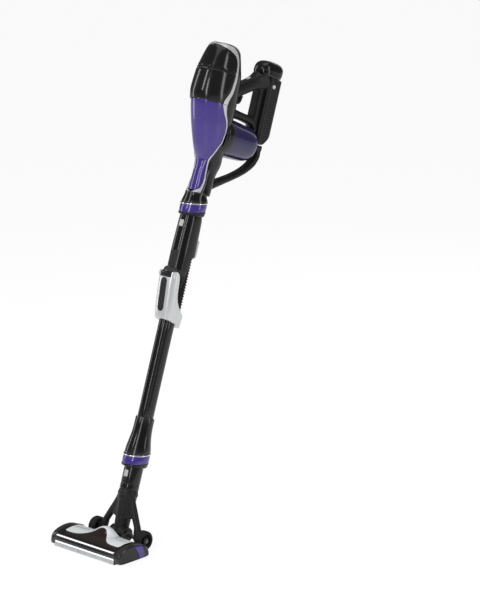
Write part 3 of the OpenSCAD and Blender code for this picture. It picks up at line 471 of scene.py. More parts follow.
def fibre(name, colour, second):
    # bristle and fleece: short streaks of two shades
    look = Shader(name)
    strand = look.node("ShaderNodeTexWave", {"bands_direction": "X"}, {"Vector": look.place, "Scale": 260.0,
                                                                       "Distortion": 6.0, "Detail": 3.0})
    fuzz = look.noise(1600, 4)
    base = look.mix(strand, tone(colour, 1), tone(second, 1))
    return look.finish(Base_Color=base, Roughness=0.8 + fuzz * 0.15, Normal=look.bump(fuzz, 0.6, 0.001))


def lampLens(name, colour):
    look = Shader(name)
    ribs = look.node("ShaderNodeTexWave", {"bands_direction": "X"}, {"Vector": look.place, "Scale": 60.0,
                                                                     "Distortion": 0.0})
    base = look.mix(ribs, tone(colour, 0.86), tone(colour, 1))
    return look.finish(Base_Color=base, Roughness=0.16 + ribs * 0.12, Emission_Color=base, Emission_Strength=0.55,
                       Coat_Weight=0.5)


finish = {
    "purple_gloss": lacquer("purpleLacquer", (0.052, 0.029, 0.23), 0.14, 0.5, 0.2, 0.5),
    "black_gloss": lacquer("blackGloss", (0.006, 0.006, 0.0065), 0.16, 0.25, 0.22, 0.35),
    "black_matte": moulded("blackMoulding", (0.008, 0.008, 0.0085), 0.38, 900, 0.22, 0.05),
    "smoke": lacquer("smokedCup", (0.008, 0.0078, 0.0075), 0.14, 0.3, 0.15, 0.4),
    "drum_purple": lacquer("drumTint", (0.018, 0.012, 0.075), 0.16, 0.4, 0.2, 0.45),
    "silver_paint": metal("silverPaint", (0.72, 0.74, 0.75), 0.24, 0.45, 0.2, 2200, 0.4),
    "chrome_trim": metal("brightTrim", (0.86, 0.87, 0.9), 0.06, 1.0, 0.05),
    "white_panel": lacquer("panelWhite", (0.78, 0.81, 0.83), 0.16, 0.5, 0.1),
    "window": smoked("brownWindow", (0.022, 0.010, 0.009), 0.78),
    "light_lens": lampLens("lampLens", (0.95, 0.96, 0.98)),
    "bristle": fibre("bristles", (0.30, 0.06, 0.045), (0.12, 0.02, 0.02)),
    "tyre_rubber": rubber("softBlack", (0.014, 0.014, 0.015)),
    "steel": metal("turnedSteel", (0.16, 0.16, 0.17), 0.3, 1.0, 0.3),
    "filter": fibre("filterFleece", (0.8, 0.79, 0.74), (0.62, 0.6, 0.55)),
    "board": moulded("boardGreen", (0.02, 0.12, 0.06), 0.4),
    "cell": moulded("cellSleeve", (0.08, 0.2, 0.05), 0.3, 600, 0.1, 0.4),
}
for node, obj in frame["nodes"].items():
    obj.data.materials.clear()
    obj.data.materials.append(finish[slotOf[node]])
print("materials made,", len(finish))


def settle(piece, body, slot, nodes=(), limit=32, look=None):
    # the last step of every piece: shading, finish, and the body that carries it
    tidyMesh(piece)
    shadeByAngle(piece, limit)
    piece.data.materials.clear()
    piece.data.materials.append(look or finish[slot])
    if body:
        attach(piece, body)
    if nodes:
        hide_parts(*nodes)
    return piece


# ---------- hand unit casing

level = {
    "top": stickBox("rear_frame")[1][2], "hand": stickBox("front_cover")[0][2],
    "cupFloor": stickBox("dust_cup")[0][2], "lidSeam": stickBox("dust_cup")[1][2] + 0.3,
}
casing = {
    "squareness": 2.3, "wall": 2.5, "proud": 2.5, "slot": 3.0,
    # [below the top, half width, front, rear]
    "fromTop": [[-1.4, 0.4, -16.4, -15.6], [-1.1, 9, -27, -4], [0, 18, -38, 4], [2, 23, -44, 10], [6, 28.5, -50, 16],
                [13, 33, -56, 21], [24, 36, -60.5, 25], [46, 40.5, -67, 31], [74, 45, -74, 38], [118, 47, -77, 40],
                [142, 46, -72, 42], [182, 43, -59, 42], [222, 38, -43, 42], [252, 32, -30, 41], [275, 27, -17, 43]],
    # [above the hand unit's foot, half width, front, rear]
    "fromFoot": [[45, 23, -19, 35], [14, 24, -21, 32], [-2, 26, -25, 29]],
    # [below the top, place of the seam, trim in front of it, trim behind it]
    "seamFromTop": [[-1.4, -70, 4, 4], [2, -50, 10, 8], [7, -32, 22, 8], [12, -21, 26, 6], [18, -13, 18, 4.5],
                    [28, -7, 8, 3.6], [42, -4, 5, 3], [66, -5, 5.5, 3], [107, -11, 6.5, 3.5], [139, -24, 7.5, 6],
                    [150, -21, 6, 5], [164, -14, 3.5, 3.5], [178, -3, 2.2, 1.8], [202, 4, 1.5, 1.3], [222, 3, 1.3, 1.2],
                    [242, -4, 1.2, 1.2], [270, -10, 1.3, 1.2]],
    "seamFromFoot": [[35, -9, 1.5, 1.5], [12, -13, 2.4, 2.4], [4, -18, 5, 4], [-5, -22, 6, 5]],
}
sectionAt = smoothThrough([[level["top"] - row[0]] + row[1:] for row in casing["fromTop"]]
                          + [[level["hand"] + row[0]] + row[1:] for row in casing["fromFoot"]])
seamAt = smoothThrough([[level["top"] - row[0]] + row[1:] for row in casing["seamFromTop"]]
                       + [[level["hand"] + row[0]] + row[1:] for row in casing["seamFromFoot"]])


def casingPoint(s, angle, grow):
    w, front, rear = sectionAt(s)
    middle, depth = (front + rear) / 2, (rear - front) / 2
    bend = 2 / casing["squareness"]
    return stick((w + grow) * power(math.cos(angle), bend), middle + (depth + grow) * power(math.sin(angle), bend), s)


def seamAngle(s, grow, shift):
    front, rear = sectionAt(s)[1:]
    middle, depth = (front + rear) / 2, (rear - front) / 2 + grow
    share = min(max((seamAt(s)[0] + shift - middle) / depth, -1), 1)
    return math.asin(power(share, casing["squareness"] / 2))


def frontPatch(name, low, high, grow, clear, count=60):
    rows = []
    for s in steps(low, high, 2.5):
        turn = seamAngle(s, grow, -seamAt(s)[1] - clear)
        if turn < -1.5:
            continue
        rows.append([casingPoint(s, a, grow) for a in np.linspace(math.pi - turn, 2 * math.pi + turn, count)])
    return gridPiece(name, rows)


def rearPatch(name, low, high, grow, clear, count=44):
    rows = []
    for s in steps(low, high, 2.5):
        turn = seamAngle(s, grow, seamAt(s)[2] + clear)
        rows.append([casingPoint(s, a, grow) for a in np.linspace(turn, math.pi - turn, count)])
    return gridPiece(name, rows)


def trimPatch(name, side, low, high, grow, count=7):
    rows = []
    for s in steps(low, high, 2.0):
        first, last = seamAngle(s, grow, -seamAt(s)[1]), seamAngle(s, grow, seamAt(s)[2])
        if last < -1.5:
            continue
        turns = [first + (last - first) * k / (count - 1) for k in range(count)]
        rows.append([casingPoint(s, a if side > 0 else math.pi - a, grow) for a in turns])
    return gridPiece(name, rows)


def buildCasing():
    proud, wall, slot = casing["proud"], casing["wall"], casing["slot"]
    cover = frontPatch("frontCover", level["hand"], level["cupFloor"] - 0.6, 0, 0.25)
    settle(thicken(cover, wall), "hand_unit", "purple_gloss", ["front_cover"])
    cup = frontPatch("dustCup", level["cupFloor"], level["lidSeam"] - slot, proud, 0.4)
    settle(thicken(cup, wall, 0.9), "dust_cup", "smoke", ["dust_cup"])
    seal = frontPatch("lidSeal", level["lidSeam"] - slot - 4, level["lidSeam"] + slot - 0.6, proud - 2.0, 0.6)
    settle(thicken(seal, 1.6), "dust_cup", "tyre_rubber")
    lid = frontPatch("dustLid", level["lidSeam"] + slot, level["top"] + 1.3, proud, 0.4)
    settle(thicken(lid, wall, 0.8), "dust_lid", "smoke", ["dust_lid"])
    back = rearPatch("rearFrame", level["hand"] - 2, level["top"] + 1.3, 0.3, 0.15)
    settle(thicken(back, wall), "hand_unit", "black_gloss", ["rear_frame"])
    lidTrims = joined("lidTrims", [trimPatch("t", side, level["cupFloor"] + 0.2, level["top"] + 1.3, 1.6)
                                   for side in (-1, 1)])
    settle(thicken(lidTrims, 2.4, 0.5), "hand_unit", "silver_paint", ["frame_trims"])
    coverTrims = joined("coverTrims", [trimPatch("t", side, level["hand"], level["cupFloor"] - 0.2, 0.9)
                                       for side in (-1, 1)])
    settle(thicken(coverTrims, 2.0, 0.4), "hand_unit", "silver_paint", ["cover_trim"])


buildCasing()
print("casing made")

# ---------- motor drum

drumBox = stickBox("motor_drum")
drumLevel = toStick(Vector(joints["impeller_spin"]["pos_m"]))[2]
drum = {
    "front": drumBox[0][1], "length": drumBox[1][1] - drumBox[0][1], "radius": drumBox[1][0],
    "ringFront": 8, "ringProud": 2, "ventCount": 28, "ventReach": [12, 28],
}


def buildDrum():
    r, long = drum["radius"], drum["length"]
    centre = stick(0, drum["front"], drumLevel)
    shellLine = [[r - 2.5, 0.4], [r - 0.4, 0.4], [r, 2], [r - 0.2, 12], [r - 0.9, 28], [r - 2.2, 50], [r - 3.6, 70],
                 [r - 5.2, long - 14], [r - 7.5, long - 6], [r - 11, long - 1.5], [r - 15.3, long - 0.4],
                 [r - 15.3, long - 3], [r - 10, long - 7], [r - 7, long - 14], [r - 4, 40]]
    shell = lathe("motorDrum", shellLine, centre, rearOfStick)
    settle(shell, "hand_unit", "drum_purple", ["motor_drum"])
    band = r + drum["ringProud"]
    start = drum["ringFront"] - drum["front"]
    ringLine = softProfile([[band - 6, start], [band - 3, start], [band, start + 5], [band + 0.3, -8], [band - 0.2, -0.6],
                            [band - 5, -0.2], [band - 6, -2]], 1.6)
    collar = lathe("drumRing", ringLine, centre, rearOfStick)
    settle(collar, "hand_unit", "black_gloss")
    grooveLine = softProfile([[r - 1, 0.1], [r + 0.6, 0.1], [r + 0.6, 1.5], [r - 1, 1.5]], 0.5)
    settle(lathe("drumBead", grooveLine, centre, rearOfStick), "hand_unit", "silver_paint",
           look=finish["black_gloss"])
    # the back of the drum: a plate with a ring of slots cut in it
    plateLine = softProfile([[0.02, 0], [30.8, 0], [30.8, 2.6], [28, 3.4], [11, 3.8], [10, 4.6], [0.02, 5.0]], 0.5)
    plateAt = stick(0, drum["front"] + long - 4.2, drumLevel)
    plate = lathe("drumGrille", plateLine, plateAt, rearOfStick)
    slots = []
    for k in range(drum["ventCount"]):
        turn = 2 * math.pi * k / drum["ventCount"]
        out = acrossStick * math.cos(turn) + alongStick * math.sin(turn)
        side = rearOfStick.cross(out)
        near, far = drum["ventReach"]
        outline = [out * (near + 1.2 * math.cos(a) if math.cos(a) < 0 else far + 1.2 * math.cos(a))
                   + side * 0.9 * math.sin(a) for a in ringAngles(10)]
        slots.append(gridPiece("s", [[plateAt + (q + rearOfStick * h) * mm for q in outline] for h in (-2, 8)],
                               True, True))
    carve(plate, joined("slots", slots))
    settle(plate, "hand_unit", "black_matte", ["drum_end_cap"])


buildDrum()
print("drum made")

# ---------- handle, hand guard and palm rest

batteryBox = stickBox("battery_case")
batteryStart, batteryEnd = batteryBox[0], batteryBox[1]
gripAxis = Vector(joints["slider_slide"]["axis"])
gripAngle = math.atan2(gripAxis.dot(alongStick), gripAxis.dot(rearOfStick))
grip = {
    "p": 40, "s": level["top"] - 100, "wide": 17,
    # [along the grip, half width, half height]
    "rings": [[-14, 17, 20], [8, 16.5, 18.5], [32, 16, 16.6], [56, 16.2, 16.8], [76, 17.6, 18.6], [90, 20.5, 22.5],
              [101, 24.3, 27], [110, 25.5, 29]],
}
guard = {
    # [behind the battery's front, below its foot, heading, half width, half height]
    "rings": [[26, 6, -84, 14, 9], [29, 24, -95, 14, 9], [22, 44, -122, 14, 8.2], [1, 66, -141, 13.5, 7.8],
              [-34, 89, -149, 12.8, 7.8], [-66, 106, -153, 12.8, 8.4], [-94, 120, -155, 13, 10],
              [-116, 130, -155, 14, 12]],
}
beam = {"rings": [[34, 64, -4, 16, 14], [56, 61, -4, 14.5, 11], [90, 60, -3, 14, 9.5], [133, 57, -3, 14, 11]]}
pillar = {"wide": 14, "front": 123, "low": 40}


def alongGrip(t, rise=0.0):
    return (grip["p"] + t * math.cos(gripAngle) - rise * math.sin(gripAngle),
            grip["s"] + t * math.sin(gripAngle) + rise * math.cos(gripAngle))


def buildHandle():
    foot = batteryStart[2] - 0.3
    solids = [sweep("g", [[*alongGrip(t), math.degrees(gripAngle), w, h, 2.35] for t, w, h in grip["rings"]]),
              sweep("l", [[batteryStart[1] + p, foot - s, turn, w, h, 2.6] for p, s, turn, w, h in guard["rings"]]),
              sweep("b", [[p, drumLevel + s, turn, w, h, 2.8] for p, s, turn, w, h in beam["rings"]])]
    w, rear = pillar["wide"], batteryStart[1] - 0.4
    post = [[pillar["front"], drumLevel + pillar["low"] + 6], [rear, drumLevel + pillar["low"]],
            [rear, batteryEnd[2] - 3], [pillar["front"], batteryEnd[2] - 3]]
    solids.append(roundEdges(sideSlab("p", post, -w, w), 4, 38, 4))
    shelf = [[rear - 7, foot - 13], [rear + 35, foot - 13], [rear + 35, foot - 0.6], [rear, foot - 0.6],
             [rear, drumLevel + pillar["low"] + 8], [rear - 7, drumLevel + pillar["low"] + 8]]
    solids.append(sideSlab("f", shelf, -w, w))
    whole = blended("handleMoulding", solids, 1.5, 9)
    for v in whole.data.vertices:
        x, p, s = toStick(v.co)
        if foot - 0.5 < s < batteryEnd[2] + 1 and p > rear:
            v.co = stick(x, rear, s)
        if s > batteryEnd[2] + 0.6 and p > pillar["front"] - 14:
            v.co = stick(x, p, batteryEnd[2] + 0.6)
    for side, name, node in ((-1, "handleLeft", "handle_left"), (1, "handleRight", "handle_right")):
        settle(halfOf(whole, name, side), "hand_unit", "black_matte", [node], 50)
    bpy.data.objects.remove(whole)


palm = {"foot": batteryEnd[2] + 1, "front": pillar["front"] - 11, "rear": batteryEnd[1] + 6}


def buildPalm():
    # [above its foot, half width, front, rear]: a crowned block that leans over the battery
    foot, front, rear = palm["foot"], palm["front"], palm["rear"]
    rows = [[foot + 0.2, 25.2, front + 4, rear - 6.5], [foot + 3, 26, front + 2, rear - 4],
            [foot + 12, 26, front, rear - 1], [foot + 22, 25, front + 1, rear], [foot + 30, 22.5, front + 6, rear - 4],
            [foot + 35, 18, front + 13, rear - 11], [foot + 37.6, 10, front + 22, rear - 22],
            [foot + 38.2, 0.4, front + 32, rear - 34]]
    block = stickLoft("palmRest", rows, 3.0, 1.6)
    settle(block, "hand_unit", "black_gloss", ["palm_cap"])
    ridge = [[foot + 12, 26.3, front - 0.3, rear - 0.7], [foot + 13.2, 26.3, front - 0.3, rear - 0.6]]
    settle(stickLoft("palmLine", ridge, 3.0, 0.6), "hand_unit", "black_gloss")


trigger = {"rings": [[3, 3.4, 3.2], [-3, 5.2, 4.6], [-9, 5.4, 4.8], [-14, 5.6, 4.6], [-18, 4.8, 3.6],
                                   [-19.6, 2.2, 1.6]]}


def buildTrigger():
    p, s = toStick(Vector(joints["trigger_pull"]["pos_m"]))[1:]
    rows = [[p - 0.02 * h * h, s + h, -90, w, deep, 2.6] for h, w, deep in trigger["rings"]]
    settle(sweep("trigger", rows, 6, 36), "trigger", "black_matte", ["trigger"])
    pinLine = softProfile([[0.02, -7.5], [1.45, -7.5], [1.45, 7.5], [0.02, 7.5]], 0.3)
    settle(lathe("triggerPin", pinLine, stick(0, p, s), acrossStick, 32, (0, 1, 0)), "hand_unit", "steel")


slider = {"start": 52, "long": 16, "half": 5, "ribs": 4, "high": 17.6}


def buildSlider():
    rows = []
    for t in steps(0, slider["long"], 0.4):
        end = min(t, slider["long"] - t)
        rise = slider["high"] - 2.2 + 2.2 * min(1, end / 1.6) ** 0.5
        rise += 0.55 * max(0, math.cos(2 * math.pi * (t - 2) / 3.2)) if 2 < t < slider["long"] - 2 else 0
        row = []
        for u in np.linspace(-1, 1, 15):
            drop = 1.6 * abs(u) ** 6
            row.append(stick(slider["half"] * u, *alongGrip(slider["start"] + t, rise - drop)))
        rows.append(row)
    settle(thicken(gridPiece("powerSlider", rows), 2.2, 0.2), "power_slider", "silver_paint", ["power_slider"])


buildHandle()
buildPalm()
buildTrigger()
buildSlider()
print("handle made")

# ---------- battery

battery = {"corner": 9, "ribPitch": 6.5, "ribHigh": 0.8, "ribFoot": 14, "ribTop": 46, "lean": 0.5,
           "leanHigh": 27}


def buildBattery():
    w = (batteryEnd[0] - batteryStart[0]) / 2 - 0.6
    front, rear = batteryStart[1], batteryEnd[1]
    depth = rear - front
    outline = roundedRect(2 * w, depth, battery["corner"], 6)
    fine = []
    for i, q in enumerate(outline):
        after = outline[(i + 1) % len(outline)]
        parts = max(1, round(math.dist(q, after) / 2.2))
        fine += [(q[0] + (after[0] - q[0]) * k / parts, q[1] + (after[1] - q[1]) * k / parts) for k in range(parts)]
    low, high = batteryStart[2], batteryEnd[2]
    rows = []
    for s in steps(low, high, 0.9):
        end = min(s - low, high - s)
        draw = 2.4 * (1 - min(1, end / 2.4)) ** 2
        inRibs = low + battery["ribFoot"] < s < high - battery["ribTop"]
        wave = max(0, math.cos(2 * math.pi * (s - low) / battery["ribPitch"])) ** 0.5 if inRibs else 0
        lean = battery["lean"] * max(0, 1 - (s - low) / battery["leanHigh"]) ** 1.7
        row = []
        for x, y in fine:
            flat = 1 if abs(y) < depth / 2 - 7 or (y > 0 and abs(x) < w - 7) else 0
            dots = 0.5 + 0.5 * math.cos(2 * math.pi * (x + y) / battery["ribPitch"])
            lift = battery["ribHigh"] * wave * flat * (0.35 + 0.65 * dots) - draw
            size = math.hypot(x, y)
            out = y + lift * y / size + depth / 2
            row.append(stick(x + lift * x / size, front + out * (1 - lean), s))
        rows.append(row)
    pack = gridPiece("batteryPack", rows, True, True)
    jack = frame["nodes"]["charge_jack"].data.vertices
    p, s = toStick(sum((v.co for v in jack), Vector()) / len(jack))[1:]
    hole = lathe("h", [[0.02, -4], [4.6, -4], [4.6, 9], [0.02, 9]], stick(batteryStart[0] - 1, p, s), acrossStick, 40,
                 (0, 1, 0))
    carve(pack, hole)
    settle(pack, "battery", "black_matte", ["battery_case"], 40)
    press = stickBox("battery_button")
    p, s = (press[0][1] + press[1][1]) / 2, (press[0][2] + press[1][2]) / 2
    r = (press[1][1] - press[0][1]) / 2
    line = softProfile([[0.02, 0], [r, 0], [r, 5.2], [r - 0.9, 6.2], [r - 2, 6.1], [0.02, 5.5]], 0.5)
    settle(lathe("batteryButton", line, stick(press[0][0], p, s), acrossStick, 48, (0, 1, 0)), "battery_button",
           "silver_paint", ["battery_button"])


buildBattery()
print("battery made")

# ---------- connectors along the stick

tubeAxis = (stickBox("lower_tube")[0][1] + stickBox("lower_tube")[1][1]) / 2


def onAxis(s):
    return stick(0, tubeAxis, s)


slope = {"rise": 0.24}


def sloped(piece, low, high, lowShare, highShare):
    # slides each point along the stick so that the cut rises to the rear, eased between two levels
    for v in piece.data.vertices:
        x, p, s = toStick(v.co)
        share = min(max((s - low) / (high - low), 0), 1)
        share = lowShare + (highShare - lowShare) * share * share * (3 - 2 * share)
        v.co = stick(x, p, s + slope["rise"] * share * (p - tubeAxis))
    return piece


connector = {"radius": stickBox("upper_collar")[1][0], "high": 19, "ring": 3, "socket": 19.15}


def buildConnector(prefix, body, collarNode, ringNode):
    r, inner = connector["radius"], connector["socket"] + 5
    foot = stickBox(collarNode)[0][2]
    h = connector["high"]
    line = softProfile([[inner, 0], [r - 0.4, 0], [r + 0.1, h * 0.5], [r - 0.5, h], [inner, h]], 1.0, 4)
    band = sloped(lathe(prefix + "Collar", line, onAxis(foot), alongStick), foot, foot + h, 1, 1)
    settle(band, body, "purple_gloss", [collarNode])
    ring = connector["ring"]
    line = softProfile([[inner, 0], [r + 0.5, 0], [r + 0.9, ring / 2], [r + 0.5, ring], [inner, ring]], 0.8, 4)
    hoop = sloped(lathe(prefix + "Ring", line, onAxis(foot + h), alongStick), foot, foot + h, 1, 1)
    settle(hoop, body, "chrome_trim", [ringNode])
    return foot + h + ring


def buildFlare(above):
    r, inner = connector["radius"], connector["socket"]
    line = [[inner, 0.3], [r - 1.6, 0.3], [r - 0.6, 1.2], [r - 0.9, 4], [r - 2.2, 8], [r - 4, 13], [r - 5, 18],
            [r - 5, 22], [inner + 1, 22], [inner, 18]]
    flare = sloped(lathe("neckFlare", line, onAxis(above), alongStick), above, above + 22, 1, 0)
    settle(flare, "hand_unit", "black_gloss", ["neck_flare"])


def buildTubeEnd(above, high):
    r, inner = connector["radius"], connector["socket"]
    line = [[inner, 0.3], [r - 1.8, 0.3], [r - 1, 1.4], [r - 1.3, 8], [r - 2.4, 16], [r - 4.4, 26], [r - 6.4, 38],
            [r - 7.8, 50], [r - 8.4, 64], [r - 8.6, high - 2], [r - 9.4, high], [inner - 4, high], [inner - 4, 30],
            [inner, 26]]
    end = sloped(lathe("tubeEnd", line, onAxis(above), alongStick), above, above + 26, 1, 0)
    settle(end, "wand_lower", "black_gloss", ["tube_end"])


def buildLip(name, foot, neck):
    # the flange under a collar, and the spigot that slides up into the socket
    r, tube = connector["radius"], connector["socket"] - 0.15
    line = softProfile([[tube - 2.4, -2], [neck, -3], [r - 3, 0.5], [r - 0.6, 2.5], [r - 0.6, 6], [r + 0.3, 7],
                        [r + 0.3, 9.6], [tube, 9.7], [tube, 50], [tube - 0.8, 53.5], [tube - 2.4, 53.5]], 0.7)
    lip = lathe(name, line, onAxis(foot), alongStick)
    for v in lip.data.vertices:
        x, p, s = toStick(v.co)
        rim = min(max((math.hypot(x, p - tubeAxis) - tube) / 6, 0), 1) * min(max((s - foot + 3) / 9, 0), 1)
        v.co = stick(x, p, s + slope["rise"] * rim * (p - tubeAxis))
    return lip


above = buildConnector("upper", "hand_unit", "upper_collar", "upper_chrome_ring")
buildFlare(above)
above = buildConnector("lower", "wand_lower", "lower_collar", "lower_chrome_ring")
buildTubeEnd(above, stickBox("tube_end")[1][2] - above)
wandFoot = stickBox("wand_spigot")[0][2]
settle(buildLip("wandSpigot", wandFoot, 21), "wand_upper", "black_matte", ["wand_spigot"])

neck = {"radius": 22.5, "low": stickBox("neck_tube")[0][2], "lip": stickBox("lower_collar")[0][2] - 10}


def buildNeck():
    r, low, lip = neck["radius"], neck["low"] + 14.3, neck["lip"]
    line = softProfile([[15, low - 14], [17.5, low - 14], [17.5, low], [r - 0.8, low], [r, low + 2], [r, low + 12],
                        [r - 0.7, low + 13], [r - 0.7, low + 14], [r, low + 15], [r, lip - 2], [r - 4, lip],
                        [15, lip]], 0.5)
    stem = lathe("neckTube", [[a, b] for a, b in line], onAxis(0), alongStick)
    pocket = [[x * 1.08, h * 1.08] for x, h in roundedRect(11, 16, 2)]
    carve(stem, seatCutter(pocket, middleOf("head_button")[1], tubeAxis - r - 3, tubeAxis - r + 9))
    settle(joined("neckStem", [stem, buildLip("l", lip, r - 1)]), "neck", "black_gloss", ["neck_tube"])


def buildPress(name, body, node, w, h, sign, ribs=3, proud=0):
    # a push button: rounded outline, dished face and a few finger ribs; sign is the way it faces
    box = stickBox(node)
    face = (box[0][1] if sign < 0 else box[1][1]) + sign * proud
    base = box[1][1] if sign < 0 else box[0][1]
    middle = (box[0][2] + box[1][2]) / 2
    outline = roundedRect(w, h, min(w, h) * 0.22, 5)
    rows = []
    for size, share in ((1, 0), (1, 0.75), (0.985, 0.9), (0.94, 0.985), (0.88, 1), (0.84, 0.97)):
        rows.append([stick(x * size, base + (face - base) * share, middle + y * size) for x, y in outline])
    for size in (0.7, 0.5, 0.3, 0.1):
        row = []
        for x, y in outline:
            rib = 0.28 * max(0, math.cos(math.pi * ribs * 2 * y * size / h))
            row.append(stick(x * size, face + sign * (rib - 0.35), middle + y * size))
        rows.append(row)
    settle(gridPiece(name, rows, True, True), body, "silver_paint", [node], 40)


buildNeck()
buildPress("wandButton", "wand_button", "wand_button", 11, 16, -1)
buildPress("headButton", "head_button", "head_button", 11, 16, -1)
buildPress("foldRelease", "fold_button", "fold_button", 18, 42, 1, 5, 5)
print("connectors made")

# ---------- flex joint: the black arm, its hose and the silver fork

foldPlace = toStick(Vector(joints["fold_hinge"]["pos_m"]))
foldP, foldS = foldPlace[1], foldPlace[2]
arm = {
    "top": wandFoot, "squareness": 2.6, "wall": 3,
    # [above the fold, half width, front, rear]
    "rows": [[-68, 18, 4, 20], [-44, 22.5, -10, 25], [-14, 23.4, -18, 28], [4, 23.5, -22, 29], [12, 23.7, -33, 29],
             [50, 24, -33, 28], [90, 23.5, -32, 26], [133, 23, -30, 24], [144.8, 22, -29, 22]],
}
armRows = [[foldS + row[0]] + row[1:] for row in arm["rows"]]


def buildArm():
    e, wall = arm["squareness"], arm["wall"]
    outer = stickLoft("arm", armRows, e, 2.5)
    inner = stickLoft("i", [[r[0] + (6 if i == len(armRows) - 1 else -6 if i == 0 else 0)] + r[1:]
                            for i, r in enumerate(armRows)], e, 2.5, -wall)
    carve(outer, inner)
    carve(outer, seatCutter(roundedRect(38, 116, 14, 6), foldS - 14, 15, 60))
    window = [[5, 45], [-7, -25], [-13, -48], [-12, -80], [60, -80], [60, 52], [26, 50], [12, 49]]
    carve(outer, sideSlab("w", [[p, foldS + h] for p, h in window], -60, 60))
    mouth = sideSlab("m", [[-70, foldS - 90], [60, foldS - 90], [60, foldS - 66.5], [-70, foldS - 66.5]], -60, 60)
    carve(outer, mouth)
    carve(outer, seatCutter(roundedRect(19, 43, 5), middleOf("fold_button")[1], 12, 60))
    carve(outer, seatCutter(roundedRect(12, 17, 2), middleOf("wand_button")[1], -60, -15))
    roundEdges(outer, 0.5, 45)
    for side, name, node in ((-1, "armLeft", "flex_arm_left"), (1, "armRight", "flex_arm_right")):
        settle(halfOf(outer, name, side, 0.08), "wand_upper", "black_gloss", [node], 40)
    bpy.data.objects.remove(outer)
    # the barrel that turns in the fork, with its web up to the arm
    barrelLine = softProfile([[3.05, -17], [8.9, -17], [8.9, 17], [3.05, 17]], 0.9)
    barrel = lathe("foldBarrel", barrelLine, stick(0, foldP, foldS), acrossStick, 64, (0, 1, 0))
    web = roundEdges(sideSlab("w", [[foldP - 7, foldS + 3], [foldP - 3, foldS + 14], [foldP + 3, foldS + 19],
                                    [foldP + 9, foldS + 16], [foldP + 8.5, foldS + 1]], -16.8, 16.8), 0.8)
    settle(joined("foldKnuckle", [barrel, web]), "wand_upper", "black_gloss")


strip = {"half": 12, "low": 20, "high": 138, "knurled": 38, "pitch": 4.2}
armAt = smoothThrough(armRows)


def frontOfArm(x, s, proud):
    w, front, rear = armAt(s)
    middle, depth = (front + rear) / 2, (rear - front) / 2
    share = min(abs(x) / (w + proud), 1) ** arm["squareness"]
    return stick(x, middle - (depth + proud) * (1 - share) ** (1 / arm["squareness"]), s)


def buildStrip():
    box = stickBox("wand_button")
    buttonS = (box[0][2] + box[1][2]) / 2
    low, high, half = foldS + strip["low"], foldS + strip["high"], strip["half"]

    def face(s, x):
        bead = 0.5 * max(0, 1 - abs(abs(x) - half + 1) / 0.8)
        return 0.25 + bead
    rows = [[frontOfArm(x, s, face(s, x)) for x in np.linspace(-half, half, 33)]
            for s in steps(low + strip["knurled"], high, 1.2)]
    plate = thicken(gridPiece("armStrip", rows), 1.3, 0.2)
    hole = roundedRect(11.8, 16.8, 2.4)
    carve(plate, seatCutter(hole, buttonS, -60, -15))
    settle(plate, "wand_upper", "black_gloss", ["arm_strip"], 40)
    rows = []
    for s in steps(low, low + strip["knurled"] - 0.4, 0.7):
        row = []
        for x in np.linspace(-half, half, 41):
            edge = min(half - abs(x), s - low, low + strip["knurled"] - s) / 1.5
            diamond = diamondAt(x, s, strip["pitch"])
            row.append(frontOfArm(x, s, 0.2 + 0.45 * diamond * min(1, max(0, edge))))
        rows.append(row)
    settle(thicken(gridPiece("stripGrip", rows), 1.3, 0.15), "wand_upper", "black_matte", [], 60)


hose = {"ribs": 19, "radius": 18, "deep": 2.6, "wall": 2, "centre": 7, "low": -76, "high": 52}


def buildHose():
    low, high, p = foldS + hose["low"], foldS + hose["high"], hose["centre"]
    line = []
    for s in steps(low, high, 0.9):
        wave = 0.5 + 0.5 * math.cos(2 * math.pi * hose["ribs"] * (s - low) / (high - low))
        line.append([hose["radius"] - hose["deep"] * (1 - wave ** 0.6), s - low])
    inside = [[hose["radius"] - hose["deep"] - hose["wall"], h] for _, h in line[::-1]]
    tube = lathe("flexHose", line + inside, stick(0, p, low), alongStick, 56)
    settle(tube, None, "tyre_rubber", ["flex_hose"])
    tuple(stick(0, p, foldS + 24))
    tuple(stick(0, p, foldS - 52))
    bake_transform(tube)


fork = {
    "squareness": 3.3, "wall": 2.4, "foot": foldS - 105,
    # [above the foot, half width, front, rear]
    "rows": [[-24, 23, -29, 25], [-6, 24, -31, 26], [4, 24.6, -34, 27], [22, 26.4, -37, 27.5], [50, 27.4, -41, 26.5],
             [98, 27.7, -46, 24], [122, 27.7, -46, 24]],
    # side outline, [p, above the foot]
    "outline": [[-60, 5], [-24, 1], [0, -5], [40, -17], [40, 8], [28, 12], [16, 18], [4, 27], [-6, 36], [-13, 46],
                [-17.5, 58], [-20, 70], [-22, 88], [-24, 101], [-27, 108.5], [-32, 112], [-36, 111], [-60, 110]],
}
forkRows = [[fork["foot"] + row[0]] + row[1:] for row in fork["rows"]]
forkAt = smoothThrough(forkRows)


def frontOfFork(x, s, proud):
    w, front, rear = forkAt(s)
    middle, depth, e = (front + rear) / 2, (rear - front) / 2, fork["squareness"]
    share = min(abs(x) / (w + proud), 1) ** e
    return stick(x, middle - (depth + proud) * (1 - share) ** (1 / e), s)


